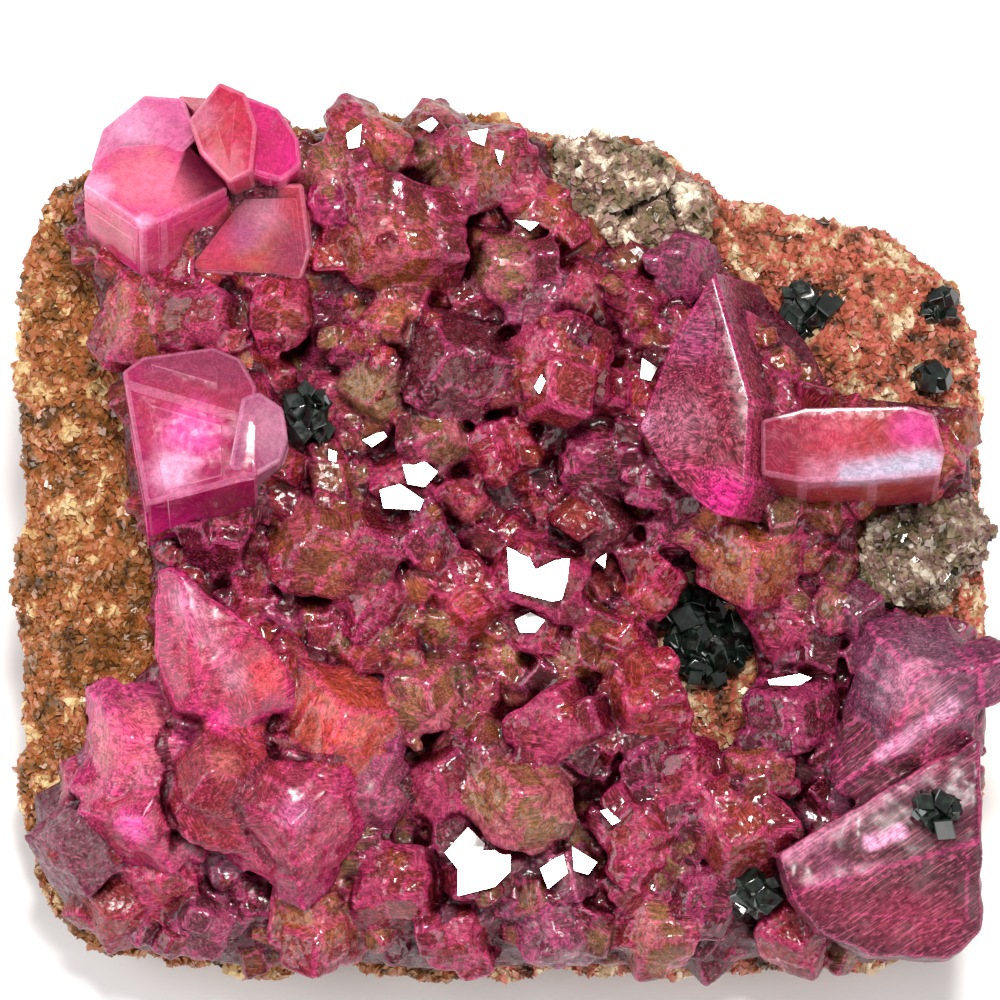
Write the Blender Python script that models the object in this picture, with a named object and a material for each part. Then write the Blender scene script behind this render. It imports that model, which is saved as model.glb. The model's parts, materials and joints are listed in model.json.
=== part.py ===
"""Pink dolomite specimen: rhombohedral crystals on a trimmed piece of the brown rock they grew on.

The specimen lies on its flat, trimmed back, with its crystal face up and leaning towards -Y.
Everything is laid out on that face in millimetres: u to the right, v up its slope, w out of it.
"""

import itertools
import math
import random

import bmesh
import bpy
import numpy as np
from mathutils import Vector, noise
from mathutils.geometry import delaunay_2d_cdt

# ---------------------------------------------------------------- driving dimensions, in mm
MM = 0.001                          # one millimetre in Blender's metres
FACE_TILT = math.radians(18.0)      # how far the crystal face leans towards -Y
FACE_HEIGHT = 16.0                  # height of the face's middle above the flat back
FACE_SETBACK = -0.5                 # moves the face's middle along Y, so the origin is under the middle
GAP = 0.3                           # clearance between pieces that touch
FLAT_ANGLE = math.radians(1.0)      # faces that meet flatter than this are made one
SLOPE_ALLOWANCE = 1.15              # a swollen copy moves this much more than the gap

ROCK_LEVEL = -3.0                   # how deep the bare rock lies under the tops of the crystals
RIM_DROP = 1.4                      # the rock rounds off by this much at its outline
RIM_WIDTH = 2.6
RIM_STEP = 1.6                      # spacing of points along the outline
BACK_INSET = 2.2                    # the flat back is this much smaller than the face all round
FACE_RADIUS = 24.0                  # from the face's middle to its outline, on average
SIDE_LEVELS = (0.1, 0.28, 0.5, 0.75, 1.0)       # rings of points down the sides, as shares of their height
SIDE_ROUGHNESS = 0.9
BARE_SPACING = 1.45                 # spacing of the rock's points where it shows
COVERED_SPACING = 4.4               # and where crystals cover it

LAYER_SINK = 0.7                    # the layers of crystals start this far below the rock's surface
LAYER_EDGE_SHARE = 0.55             # and are thinner at their edge
CARPET_THICKNESS = 1.9              # solid layer that the small crystals rise from
LAYER_SPACING = 4.8                 # spacing of that layer's points
FILL_SPACING = 3.0                  # distance between the small crystals that fill the carpet
FILL_SIZES = (2.2, 2.9)
FILL_MARGIN = 1.0                   # how far they keep from the carpet's border
FILL_OVERLAP = 0.4                  # crystals stand at least this share of their two breadths apart
SEED = 20

# Dolomite's rhombohedron: the angle between the crystal's long axis and a face's normal, how unevenly
# its faces sit, and how many crystals have an end cut square, at which share of their breadth
POLAR_ANGLE = math.radians(43.9)
UNEVEN = (0.88, 1.1)
CUT_CHANCE = 0.3
CUT_REACH = (0.62, 0.74)

# Outline of the specimen, seen square to its face (u, v)
OUTLINE = (
    (-24.1, 12.0), (-22.5, 15.7), (-21.0, 16.4), (-18.5, 17.5), (-15.0, 18.2), (-12.0, 18.5),
    (-9.5, 18.7), (-7.5, 19.3), (-3.5, 19.5), (0.0, 19.3), (2.2, 18.5), (5.0, 18.4),
    (7.5, 18.0), (10.0, 16.4), (11.7, 15.0), (13.5, 14.8), (15.5, 14.2), (18.0, 13.9),
    (19.7, 13.6), (20.7, 12.5), (22.0, 11.4), (23.2, 10.0), (24.2, 7.5), (24.6, 3.5),
    (24.2, -1.0), (24.6, -6.0), (24.2, -11.0), (24.5, -15.0), (24.0, -19.0), (22.5, -22.5),
    (19.0, -24.1), (14.0, -23.7), (9.0, -24.4), (3.0, -24.0), (-2.5, -24.5), (-8.0, -23.9),
    (-13.5, -24.2), (-18.5, -23.5), (-22.0, -22.0), (-23.9, -19.0), (-24.4, -14.0), (-24.0, -9.0),
    (-24.6, -4.0), (-24.1, 1.0), (-24.5, 6.0),
)

# Mounds and hollows of the rock (u, v, radius, height)
LANDFORMS = (
    (-15.5, 14.5, 5.5, 2.6),        # under the crown crystals
    (-15.0, 4.0, 4.5, 1.6),         # under the left tablet
    (-14.5, -11.5, 6.0, 1.4),       # under the lower left crystals
    (10.8, 4.5, 4.5, 1.2),          # under the right rhomb
    (19.5, -16.5, 5.5, 1.0),        # under the lower right crystals
    (10.5, -7.0, 3.4, -1.6),        # hollow with the largest dark cluster
    (-11.3, -18.6, 3.0, -1.0),      # gaps between the lower left crystals
    (17.7, -9.8, 2.0, -1.0),
    (5.9, 6.0, 2.0, -0.8),
    (-22.5, 2.0, 6.0, -0.5),        # the bare strip on the left falls away
    (17.0, 8.5, 5.0, 0.9),          # knobby bare rock at the upper right
)
PITS = ((15.3, 9.6, 1.3), (17.3, 8.0, 1.0), (22.2, 9.9, 1.0), (21.8, 6.1, 0.9), (-19.2, -0.9, 0.7))
PIT_DEPTH = 1.0
DOME_RADIUS = 30.0                  # the face falls away by DOME_DROP at this distance from its middle
DOME_DROP = 1.6
LUMPS = ((4.5, 0.9, 3.0), (2.2, 0.7, 9.0))      # uneven rock: (size of the lumps, height, place in the noise)

# Where the pink carpet grows, and the hollow it leaves free (u, v)
PINK_AREA = (
    (-20.0, 17.2), (-15.0, 18.0), (-9.5, 18.4), (-7.5, 19.0), (-3.5, 19.2), (0.0, 19.0),
    (2.3, 18.0), (2.8, 15.4), (4.2, 13.8), (6.4, 12.4), (10.2, 12.4), (13.0, 10.6),
    (15.4, 7.9), (16.6, 5.3), (20.2, 4.9), (23.6, 4.6), (23.8, -0.4), (20.2, 0.2),
    (18.0, -1.0), (17.8, -3.4), (19.2, -5.8), (22.8, -6.0), (24.1, -6.6),
    (23.8, -11.0), (24.0, -15.0), (23.4, -19.0), (21.8, -22.0), (18.8, -23.5), (14.0, -23.1),
    (9.0, -23.7), (3.0, -23.4), (-2.5, -23.8), (-8.0, -23.3), (-13.5, -23.5), (-18.3, -22.8),
    (-21.5, -21.4), (-23.3, -18.7), (-23.6, -15.0), (-21.2, -13.7), (-19.4, -10.0), (-17.2, -8.0),
    (-17.4, -3.0), (-18.6, 0.0), (-19.2, 6.5), (-20.3, 10.0), (-21.2, 13.5),
)
HOLLOW = ((7.9, -5.0), (9.6, -3.4), (12.4, -4.6), (13.0, -8.6), (12.4, -12.2), (10.4, -12.8), (8.0, -9.6))
PALE_TOP_AREA = (
    (2.8, 18.1), (5.0, 18.0), (7.4, 17.6), (9.7, 16.0), (10.4, 14.0), (9.0, 12.7),
    (6.2, 12.9), (4.0, 14.2), (3.2, 15.6),
)
PALE_RIGHT_AREA = (
    (18.6, -1.2), (20.4, -0.5), (23.0, -0.8), (23.2, -3.6), (22.4, -5.3), (19.4, -5.2), (18.3, -3.2),
)

# The larger crystals of the carpet:
# (u, v, height of the middle above the layer, breadth, direction it leans to, lean, turn), in mm and degrees
FACE_SHARE = 0.8                    # distance between opposite faces, as a share of the breadth
CARPET_CRYSTALS = (
    (-6.4, 17.4, 0.4, 4.3, 80, 28, 10), (-8.4, 16.2, 0.2, 3.2, 200, 30, 40),
    (-1.3, 16.8, 0.5, 3.9, 100, 24, 55), (-8.7, 14.6, 0.5, 2.4, 230, 50, 5),
    (-5.2, 12.8, 0.6, 5.2, 250, 22, 15), (1.2, 15.5, 0.2, 3.2, 30, 35, 70),
    (-3.4, 19.0, 0.0, 2.6, 80, 30, 20), (0.2, 11.6, 0.3, 3.3, 140, 20, 35),
    (2.2, 9.5, 0.4, 3.4, 300, 30, 80), (4.2, 10.8, 0.2, 3.4, 60, 26, 0),
    (7.0, 10.0, 0.1, 3.3, 350, 32, 25), (9.0, 11.8, 0.0, 3.0, 40, 20, 65),
    (-17.5, 9.2, 0.3, 4.5, 150, 22, 30), (-14.6, 8.8, 0.2, 3.6, 280, 28, 90),
    (-10.8, 9.7, 0.4, 3.4, 20, 40, 50), (-8.4, 8.0, 0.3, 3.5, 190, 25, 15),
    (-5.4, 9.0, 0.2, 3.3, 320, 28, 60), (-2.4, 7.0, 0.6, 4.6, 90, 15, 20),
    (-6.2, 5.5, 0.1, 3.3, 240, 30, 75), (2.5, 6.2, 0.7, 5.4, 255, 26, 0),
    (-8.5, 5.3, 0.1, 3.2, 120, 22, 45), (-3.0, 3.5, 0.3, 3.4, 15, 34, 85),
    (0.1, 2.4, 0.2, 3.3, 290, 24, 5), (4.6, 2.5, 0.4, 3.5, 170, 28, 35),
    (6.2, 5.3, -0.4, 2.8, 60, 36, 70), (-8.9, -2.0, 0.6, 5.2, 130, 18, 25),
    (-13.7, -2.0, 0.1, 3.2, 330, 30, 55), (-5.0, 1.0, 0.4, 2.9, 92, 34, 0),
    (-4.0, -2.0, 0.4, 3.6, 210, 26, 80), (-6.1, -4.7, 0.2, 3.4, 10, 22, 15),
    (2.0, -3.7, 0.6, 4.3, 92, 32, 30), (1.5, -6.4, 0.4, 2.8, 95, 30, 60),
    (-1.6, -5.2, 0.4, 3.4, 260, 28, 40), (5.2, -1.0, 0.3, 3.4, 350, 24, 10),
    (7.2, -4.4, 0.0, 3.1, 220, 36, 75), (7.6, 1.0, 0.1, 3.2, 110, 30, 50),
    (12.6, -3.0, 0.4, 4.4, 75, 16, 45), (14.5, -6.2, 0.2, 3.8, 300, 22, 15),
    (16.9, -5.2, 0.5, 2.2, 90, 20, 45), (14.7, -10.6, 0.4, 4.2, 88, 30, 70),
    (7.2, -10.2, 0.4, 4.3, 200, 24, 35), (2.8, -11.4, 0.5, 4.4, 330, 28, 5),
    (-4.0, -9.8, 0.4, 4.1, 50, 26, 60), (-3.2, -14.2, 0.3, 3.7, 160, 30, 85),
    (1.0, -15.1, 0.7, 5.4, 85, 14, 30), (-20.9, -14.2, 0.2, 2.6, 190, 28, 20),
    (-0.8, -17.9, 0.5, 4.1, 93, 33, 50), (3.3, -18.6, 0.3, 3.4, 80, 30, 75),
    (7.0, -16.6, 0.4, 4.1, 20, 24, 10), (11.7, -16.5, 0.5, 4.4, 240, 20, 40),
    (13.0, -13.6, 0.2, 3.2, 130, 30, 65), (9.6, -14.1, 0.2, 3.4, 310, 26, 0),
    (10.2, -19.3, 0.2, 3.8, 100, 28, 30), (-17.5, -18.6, 0.3, 4.4, 215, 22, 55),
    (-21.0, -17.4, 0.2, 4.0, 175, 22, 80), (-12.6, -20.2, 0.1, 3.3, 280, 30, 20),
    (-9.2, -20.8, 0.3, 4.2, 60, 24, 45), (-4.9, -19.4, 0.4, 4.2, 340, 26, 70),
    (-15.2, -21.0, 0.2, 4.0, 110, 24, 15), (-19.4, -20.2, 0.1, 3.6, 240, 26, 40),
    (-2.4, -21.6, 0.2, 3.8, 20, 28, 65), (3.0, -21.7, 0.2, 3.6, 270, 24, 5),
    (8.0, -21.7, 0.1, 3.8, 200, 26, 35), (14.6, -21.9, 0.1, 3.4, 300, 22, 60),
    (22.3, 2.6, -0.2, 2.8, 20, 24, 10), (17.6, -12.6, 0.1, 3.2, 70, 28, 45),
)

# Large crystals: each block is (outline of its nearest face, height w at that outline's first corner,
# the face's slopes along u and v, the vector along which its sides run back into the rock, and
# any further faces that cut its front, as a point of each and its slopes)
CROWN_BLOCKS = (
    (((-17.65, 13.6), (-20.65, 15.65), (-20.1, 17.0), (-19.0, 17.7), (-15.75, 18.0), (-13.45, 15.6),
      (-16.6, 13.8)),
     4.6, (-0.03, -0.88), (-0.1, -2.6, -3.6)),
    (((-20.5, 16.6), (-19.9, 18.6), (-17.8, 20.3), (-15.8, 20.1), (-15.0, 18.2), (-17.4, 16.0)),
     0.1, (0.3, -0.25), (0.3, -1.6, -4.4)),
    (((-15.5, 18.9), (-13.95, 20.8), (-12.6, 20.2), (-12.0, 18.5), (-12.2, 16.2), (-13.4, 15.6),
      (-14.9, 17.2)),
     1.9, (0.42, -0.3), (0.2, -1.2, -5.2)),
    (((-12.6, 20.1), (-11.0, 19.5), (-10.0, 18.0), (-9.85, 16.6), (-10.8, 15.8), (-12.3, 16.2),
      (-12.9, 18.4)),
     2.2, (-0.4, -0.22), (-0.1, -1.3, -5.0)),
    (((-13.6, 15.7), (-9.8, 15.8), (-9.4, 12.5), (-9.9, 11.0), (-15.2, 11.3), (-15.2, 13.6)),
     1.7, (-0.14, 0.1), (0.1, -0.5, -4.6)),
)
LEFT_TABLET_BLOCKS = (
    (((-17.5, -0.25), (-18.75, 6.5), (-17.75, 7.4), (-14.25, 8.1), (-12.85, 7.5), (-12.05, 5.9),
      (-12.0, 1.2)),
     3.7, (0.05, -0.18), (-0.1, -2.4, -5.4), (((-15.5, 5.4, 2.6), (-0.05, -0.52)),)),
    (((-12.8, 5.1), (-11.9, 5.4), (-10.75, 4.6), (-10.5, 3.0), (-10.85, 1.9), (-12.2, 1.1), (-13.4, 1.6)),
     3.2, (-0.38, -0.12), (-0.1, -1.0, -5.0)),
)
LOWER_LEFT_BLOCKS = (
    (((-17.15, -3.1), (-14.75, -3.4), (-13.0, -5.0), (-11.6, -6.75), (-10.5, -7.6), (-10.45, -10.0),
      (-13.0, -10.9), (-16.1, -10.3), (-17.2, -7.5)),
     2.6, (-0.1, -0.14), (0.2, -1.4, -4.8),
     (((-13.0, -8.6, 2.5), (-0.42, 0.12)), ((-16.2, -6.0, 2.5), (0.4, -0.05)))),
)
RIGHT_RHOMB_BLOCKS = (
    (((12.45, 4.9), (10.6, 11.4), (8.4, 7.75), (6.85, 3.6), (8.4, 0.9), (10.1, -0.6), (11.1, -0.8),
      (12.2, 1.0)),
     3.6, (0.12, -0.14), (2.6, -0.5, -5.2), (((8.6, 1.5, 3.5), (0.25, 0.3)),)),
)
RIGHT_BLOCK_BLOCKS = (
    (((15.15, 4.6), (20.25, 4.7), (21.5, 4.3), (22.05, 2.5), (21.8, 1.3), (18.5, 1.0), (15.0, 0.9),
      (12.9, 1.3), (12.9, 4.0)),
     2.9, (-0.02, -0.03), (0.1, -1.4, -4.4)),
)
LOWER_RIGHT_BLOCKS = (
    (((13.75, -17.5), (15.0, -16.6), (19.0, -14.4), (22.3, -12.4), (23.8, -11.8), (24.0, -21.2),
      (22.3, -22.6), (18.5, -22.4), (15.7, -21.3), (14.4, -19.7)),
     2.4, (0.04, -0.16), (0.0, -0.6, -4.8), (((20.3, -17.8, 2.75), (-0.1, 0.34)),)),
)

# Large crystals with the plain rhombohedral shape: (u, v, w, size, direction it leans to, lean, turn)
CROWN_RHOMBS = (
    (-13.3, 17.0, -0.6, 3.4, 60, 20, 30),
)
LOWER_LEFT_RHOMBS = (
    (-18.1, -12.4, 0.3, 3.9, 150, 18, 35),
    (-17.9, -15.4, 0.5, 3.8, 240, 16, 80),
    (-13.8, -13.8, 0.7, 4.4, 100, 14, 10),
    (-10.2, -15.8, 0.9, 4.3, 280, 10, 55),
    (-7.8, -11.4, 0.3, 4.0, 60, 18, 25),
    (-10.6, -12.6, -0.4, 3.4, 20, 20, 60),
    (-6.6, -14.2, -0.3, 2.9, 320, 24, 70),
)
LOWER_RIGHT_RHOMBS = (
    (20.7, -9.4, 0.4, 4.2, 130, 18, 40),
    (20.0, -12.2, 0.0, 3.8, 70, 24, 0),
    (22.0, -11.0, 0.0, 2.9, 30, 20, 75),
)

LARGE_CRYSTALS = {
    "crown_crystals": (CROWN_BLOCKS, CROWN_RHOMBS),
    "left_tablet_crystal": (LEFT_TABLET_BLOCKS, ()),
    "lower_left_crystals": (LOWER_LEFT_BLOCKS, LOWER_LEFT_RHOMBS),
    "right_rhomb_crystal": (RIGHT_RHOMB_BLOCKS, ()),
    "right_block_crystal": (RIGHT_BLOCK_BLOCKS, ()),
    "lower_right_crystals": (LOWER_RIGHT_BLOCKS, LOWER_RIGHT_RHOMBS),
}

# Pale granular patches: (name, area, spacing and sizes of their grains)
PALE_PATCHES = (
    ("pale_patch_top", PALE_TOP_AREA, 1.9, (1.6, 2.3)),
    ("pale_patch_right", PALE_RIGHT_AREA, 2.1, (1.8, 2.6)),
)
PALE_THICKNESS = 0.7
PALE_RISE = (0.4, 0.9)              # how far the middles of their grains stand above the rock

# Dark clusters: (u, v, half width, half height, number of crystals, height above the rock)
DARK_CLUSTERS = (
    (10.5, -6.9, 2.2, 2.4, 9, 0.0),
    (-9.7, 4.2, 1.2, 1.2, 6, 1.9),
    (15.3, 9.5, 1.5, 1.1, 6, 0.1),
    (22.2, 9.8, 0.9, 0.8, 4, 0.1),
    (21.8, 6.1, 0.6, 0.6, 3, 0.0),
    (21.8, -15.5, 1.2, 0.9, 4, 4.9),
    (12.6, -19.7, 1.2, 0.8, 5, 2.0),
)
DARK_SIZES = (0.75, 1.25)
DARK_LUMP = (0.9, 0.8)              # the lump they share reaches this far above and below the ground
DARK_LUMP_SIDES = 7


def to_world(point):
    """A point of the face's frame (u, v, w) in mm, as a world position in metres."""
    u, v, w = point
    across = v * math.cos(FACE_TILT) - w * math.sin(FACE_TILT) + FACE_SETBACK
    up = v * math.sin(FACE_TILT) + w * math.cos(FACE_TILT) + FACE_HEIGHT
    return (u * MM, across * MM, up * MM)


def depth_of_back(v):
    """The w at which the flat back lies under a point of the face."""
    return -(FACE_HEIGHT + v * math.sin(FACE_TILT)) / math.cos(FACE_TILT)


# ---------------------------------------------------------------- outlines and areas
def inside(area, u, v):
    """Whether a point lies inside a closed outline."""
    hit = False
    for (u0, v0), (u1, v1) in zip(area, area[1:] + area[:1]):
        if (v0 > v) != (v1 > v) and u < u0 + (v - v0) * (u1 - u0) / (v1 - v0):
            hit = not hit
    return hit


def distance_to(area, u, v):
    """Shortest distance from a point to a closed outline."""
    best = math.inf
    for (u0, v0), (u1, v1) in zip(area, area[1:] + area[:1]):
        du, dv = u1 - u0, v1 - v0
        along = max(0.0, min(1.0, ((u - u0) * du + (v - v0) * dv) / (du * du + dv * dv)))
        best = min(best, math.hypot(u - u0 - along * du, v - v0 - along * dv))
    return best


def stepped(area, step):
    """The outline again, with a point about every step."""
    points = []
    for (u0, v0), (u1, v1) in zip(area, area[1:] + area[:1]):
        count = max(1, round(math.hypot(u1 - u0, v1 - v0) / step))
        for i in range(count):
            points.append((u0 + (u1 - u0) * i / count, v0 + (v1 - v0) * i / count))
    return points


def scattered(area, spacing, margin, rng, keep=None):
    """Points of a shaken triangular grid inside an outline, at least margin from it."""
    lowest = [min(p[axis] for p in area) for axis in (0, 1)]
    highest = [max(p[axis] for p in area) for axis in (0, 1)]
    row_step = spacing * math.sqrt(3) / 2
    shake = spacing * 0.28
    points = []
    for row in range(int((highest[1] - lowest[1]) / row_step) + 2):
        for column in range(int((highest[0] - lowest[0]) / spacing) + 2):
            u = lowest[0] + (column + 0.5 * (row % 2)) * spacing + rng.uniform(-shake, shake)
            v = lowest[1] + row * row_step + rng.uniform(-shake, shake)
            wanted = keep is None or keep(u, v)
            if wanted and inside(area, u, v) and distance_to(area, u, v) > margin:
                points.append((u, v))
    return points


def smoothstep(x):
    x = max(0.0, min(1.0, x))
    return x * x * (3 - 2 * x)


def rock_surface(u, v):
    """Height w of the rock's upper side: a gentle dome with mounds, hollows, pits and lumps."""
    w = ROCK_LEVEL - DOME_DROP * (math.hypot(u, v) / DOME_RADIUS) ** 4
    for centre_u, centre_v, radius, height in LANDFORMS:
        w += height * math.exp(-((u - centre_u) ** 2 + (v - centre_v) ** 2) / radius ** 2)
    for centre_u, centre_v, radius in PITS:
        w -= PIT_DEPTH * math.exp(-((u - centre_u) ** 2 + (v - centre_v) ** 2) / radius ** 2)
    for size, height, place in LUMPS:
        w += height * noise.noise(Vector((u, v, place)) / size)
    w -= RIM_DROP * (1 - smoothstep(distance_to(OUTLINE, u, v) / RIM_WIDTH))
    return w


# ---------------------------------------------------------------- meshes
def new_object(name, points, faces, material=None, helper=False):
    """A mesh object from points of the face's frame."""
    mesh = bpy.data.meshes.new(name)
    mesh.from_pydata([to_world(p) for p in points], [], faces)
    mesh.validate()
    if material:
        mesh.materials.append(material)
    obj = bpy.data.objects.new(name, mesh)
    bpy.context.scene.collection.objects.link(obj)
    if helper:
        obj.hide_render = True
        obj.display_type = "WIRE"
    return obj


def polyhedron(planes):
    """Points and faces of the convex solid behind all planes (normal, distance)."""
    normals = np.array([n for n, _ in planes])
    distances = np.array([d for _, d in planes])
    corners = []
    for trio in itertools.combinations(range(len(planes)), 3):
        matrix = normals[list(trio)]
        if abs(np.linalg.det(matrix)) < 1e-6:
            continue
        corner = np.linalg.solve(matrix, distances[list(trio)])
        is_behind = (normals @ corner <= distances + 1e-6).all()
        if is_behind and all(np.abs(corner - other).max() > 1e-4 for other in corners):
            corners.append(corner)
    faces = []
    for normal, distance in zip(normals, distances):
        ring = [i for i, c in enumerate(corners) if abs(normal @ c - distance) < 1e-4]
        if len(ring) < 3:
            continue
        middle = np.mean([corners[i] for i in ring], axis=0)
        side = corners[ring[0]] - middle
        other = np.cross(normal, side)
        ring.sort(key=lambda i: math.atan2((corners[i] - middle) @ other, (corners[i] - middle) @ side))
        faces.append(ring)
    return [tuple(c) for c in corners], faces


def merged(solids):
    """Points and faces of several solids in one list."""
    points, faces = [], []
    for solid_points, solid_faces in solids:
        start = len(points)
        points += solid_points
        faces += [[start + i for i in face] for face in solid_faces]
    return points, faces


def grown(planes, by=GAP):
    return [(normal, distance + by) for normal, distance in planes]


def rhombohedron(centre, size, lean_to, lean, turn, rng):
    """Planes of a dolomite crystal. Its axis leans from w by lean, towards lean_to; the faces sit
    three round each end of it, a little unequal, and some ends are cut square."""
    lean_to, lean, turn = map(math.radians, (lean_to, lean, turn))
    axis = np.array((math.sin(lean) * math.cos(lean_to), math.sin(lean) * math.sin(lean_to), math.cos(lean)))
    side = np.cross(axis, (0.31, 0.83, 0.46))
    side /= np.linalg.norm(side)
    other = np.cross(axis, side)
    centre = np.array(centre)
    planes = []
    for third in range(3):
        angle = turn + third * math.tau / 3
        radial = math.cos(angle) * side + math.sin(angle) * other
        normal = math.cos(POLAR_ANGLE) * axis + math.sin(POLAR_ANGLE) * radial
        for sign in (1, -1):
            reach = size / 2 * rng.uniform(*UNEVEN)
            planes.append((sign * normal, sign * normal @ centre + reach))
    if rng.random() < CUT_CHANCE:
        planes.append((axis, axis @ centre + size * rng.uniform(*CUT_REACH)))
    return planes


def any_way(rng, most_lean):
    """A direction to lean to, a lean and a turn, in degrees."""
    return rng.uniform(0, 360), rng.uniform(8, most_lean), rng.uniform(0, 120)


def sloping_plane(point, slopes):
    """The plane through a point that rises by slopes along u and v, and faces out."""
    normal = np.array((-slopes[0], -slopes[1], 1.0))
    normal /= np.linalg.norm(normal)
    return normal, normal @ np.array(point)


def block(outline, height, slopes, run, cuts=()):
    """Planes of a crystal with a flat near face of this outline, whose sides run back along run."""
    base_u, base_v = outline[0]
    corners = [
        np.array((u, v, height + slopes[0] * (u - base_u) + slopes[1] * (v - base_v))) for u, v in outline
    ]
    run = np.array(run)
    middle = np.mean(corners, axis=0) + run / 2
    front, reach = sloping_plane(corners[0], slopes)
    planes = [(front, reach), (-front, -front @ (corners[0] + run))]
    planes += [sloping_plane(*cut) for cut in cuts]
    for here, there in zip(corners, corners[1:] + corners[:1]):
        normal = np.cross(there - here, run)
        normal /= np.linalg.norm(normal)
        if normal @ (here - middle) < 0:
            normal = -normal
        planes.append((normal, normal @ here))
    return planes


def boolean(obj, other, operation):
    modifier = obj.modifiers.new(operation.title(), "BOOLEAN")
    modifier.object = other
    modifier.operation = operation
    modifier.use_self = True


def bodies_of(edit):
    """The faces of an edit mesh in groups, each joined across edges that just two faces share."""
    left = set(edit.faces)
    bodies = []
    while left:
        waiting = [left.pop()]
        body = list(waiting)
        while waiting:
            for edge in waiting.pop().edges:
                if len(edge.link_faces) != 2:
                    continue
                for face in edge.link_faces:
                    if face in left:
                        left.remove(face)
                        body.append(face)
                        waiting.append(face)
        bodies.append(body)
    return bodies


def keep_largest_body(obj):
    """Settles the object's modifiers, joins its flat faces and keeps only the largest body."""
    graph = bpy.context.evaluated_depsgraph_get()
    mesh = bpy.data.meshes.new_from_object(obj.evaluated_get(graph))
    obj.modifiers.clear()
    edit = bmesh.new()
    edit.from_mesh(mesh)
    bmesh.ops.dissolve_limit(edit, verts=edit.verts, edges=edit.edges, angle_limit=FLAT_ANGLE)
    bmesh.ops.triangulate(edit, faces=edit.faces)
    bodies = bodies_of(edit)
    bodies.sort(key=lambda faces: sum(face.calc_area() for face in faces))
    smaller = [face for body in bodies[:-1] for face in body]
    bmesh.ops.delete(edit, geom=smaller, context="FACES")
    edit.to_mesh(mesh)
    edit.free()
    obj.data = mesh


# ---------------------------------------------------------------- materials
def material(name, colour, roughness, transmission=0.0):
    made = bpy.data.materials.new(name)
    made.use_nodes = True
    shader = made.node_tree.nodes["Principled BSDF"]
    shader.inputs["Base Color"].default_value = (*colour, 1.0)
    shader.inputs["Roughness"].default_value = roughness
    shader.inputs["Transmission Weight"].default_value = transmission
    return made


# ---------------------------------------------------------------- the pieces
def make_rock(stone):
    """The rock: an uneven upper side, broken sides that draw in a little, and a flat back."""
    rng = random.Random(SEED)
    rim = []
    for u, v in stepped(OUTLINE, RIM_STEP):
        rough = 1 + 0.016 * noise.noise(Vector((u, v, 0.0)) / 1.9)
        rim.append((u * rough, v * rough))

    def is_covered(u, v):
        return inside(PINK_AREA, u, v) and not inside(HOLLOW, u, v)

    top = scattered(OUTLINE, COVERED_SPACING, 1.0, rng, is_covered)
    top += scattered(OUTLINE, BARE_SPACING, 0.9, rng, lambda u, v: not is_covered(u, v))
    flat = [Vector(p) for p in rim + top]
    ring_edges = [(i, (i + 1) % len(rim)) for i in range(len(rim))]
    made = delaunay_2d_cdt(flat, ring_edges, [], 1, 1e-5)
    points = [(p.x, p.y, rock_surface(p.x, p.y)) for p in made[0]]
    faces = [list(face) for face in made[2]]

    count = len(rim)
    ring = list(range(count))
    for share in SIDE_LEVELS:
        next_ring = []
        for i, (u, v) in enumerate(rim):
            rough = noise.noise(Vector((u / 4.0, v / 4.0, share * 2.5)))
            step_in = BACK_INSET * share ** 0.8 + SIDE_ROUGHNESS * rough * math.sin(math.pi * share)
            inset = 1 - step_in / FACE_RADIUS
            inner_u, inner_v = u * inset, v * inset
            rim_w = points[i][2]
            w = rim_w + (depth_of_back(inner_v) - rim_w) * share
            next_ring.append(len(points))
            points.append((inner_u, inner_v, w))
        for i in range(count):
            j = (i + 1) % count
            faces.append([ring[i], ring[j], next_ring[j], next_ring[i]])
        ring = next_ring
    faces.append(ring)
    rock = new_object("matrix", points, faces, stone)
    face_outward(rock)
    return rock


def face_outward(obj):
    """Turns every face the same way round, outward."""
    edit = bmesh.new()
    edit.from_mesh(obj.data)
    bmesh.ops.recalc_face_normals(edit, faces=edit.faces)
    if edit.calc_volume(signed=True) < 0:
        bmesh.ops.reverse_faces(edit, faces=edit.faces)
    edit.to_mesh(obj.data)
    edit.free()


def clearance_of(obj):
    """A hidden copy of the object, swollen by the gap, to cut what stands on it or against it."""
    cutter = bpy.data.objects.new(obj.name + "_clearance", obj.data.copy())
    bpy.context.scene.collection.objects.link(cutter)
    cutter.hide_render = True
    cutter.display_type = "WIRE"
    normals = [vertex.normal.copy() for vertex in cutter.data.vertices]
    for vertex, normal in zip(cutter.data.vertices, normals):
        vertex.co += normal * GAP * SLOPE_ALLOWANCE * MM
    return cutter


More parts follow.
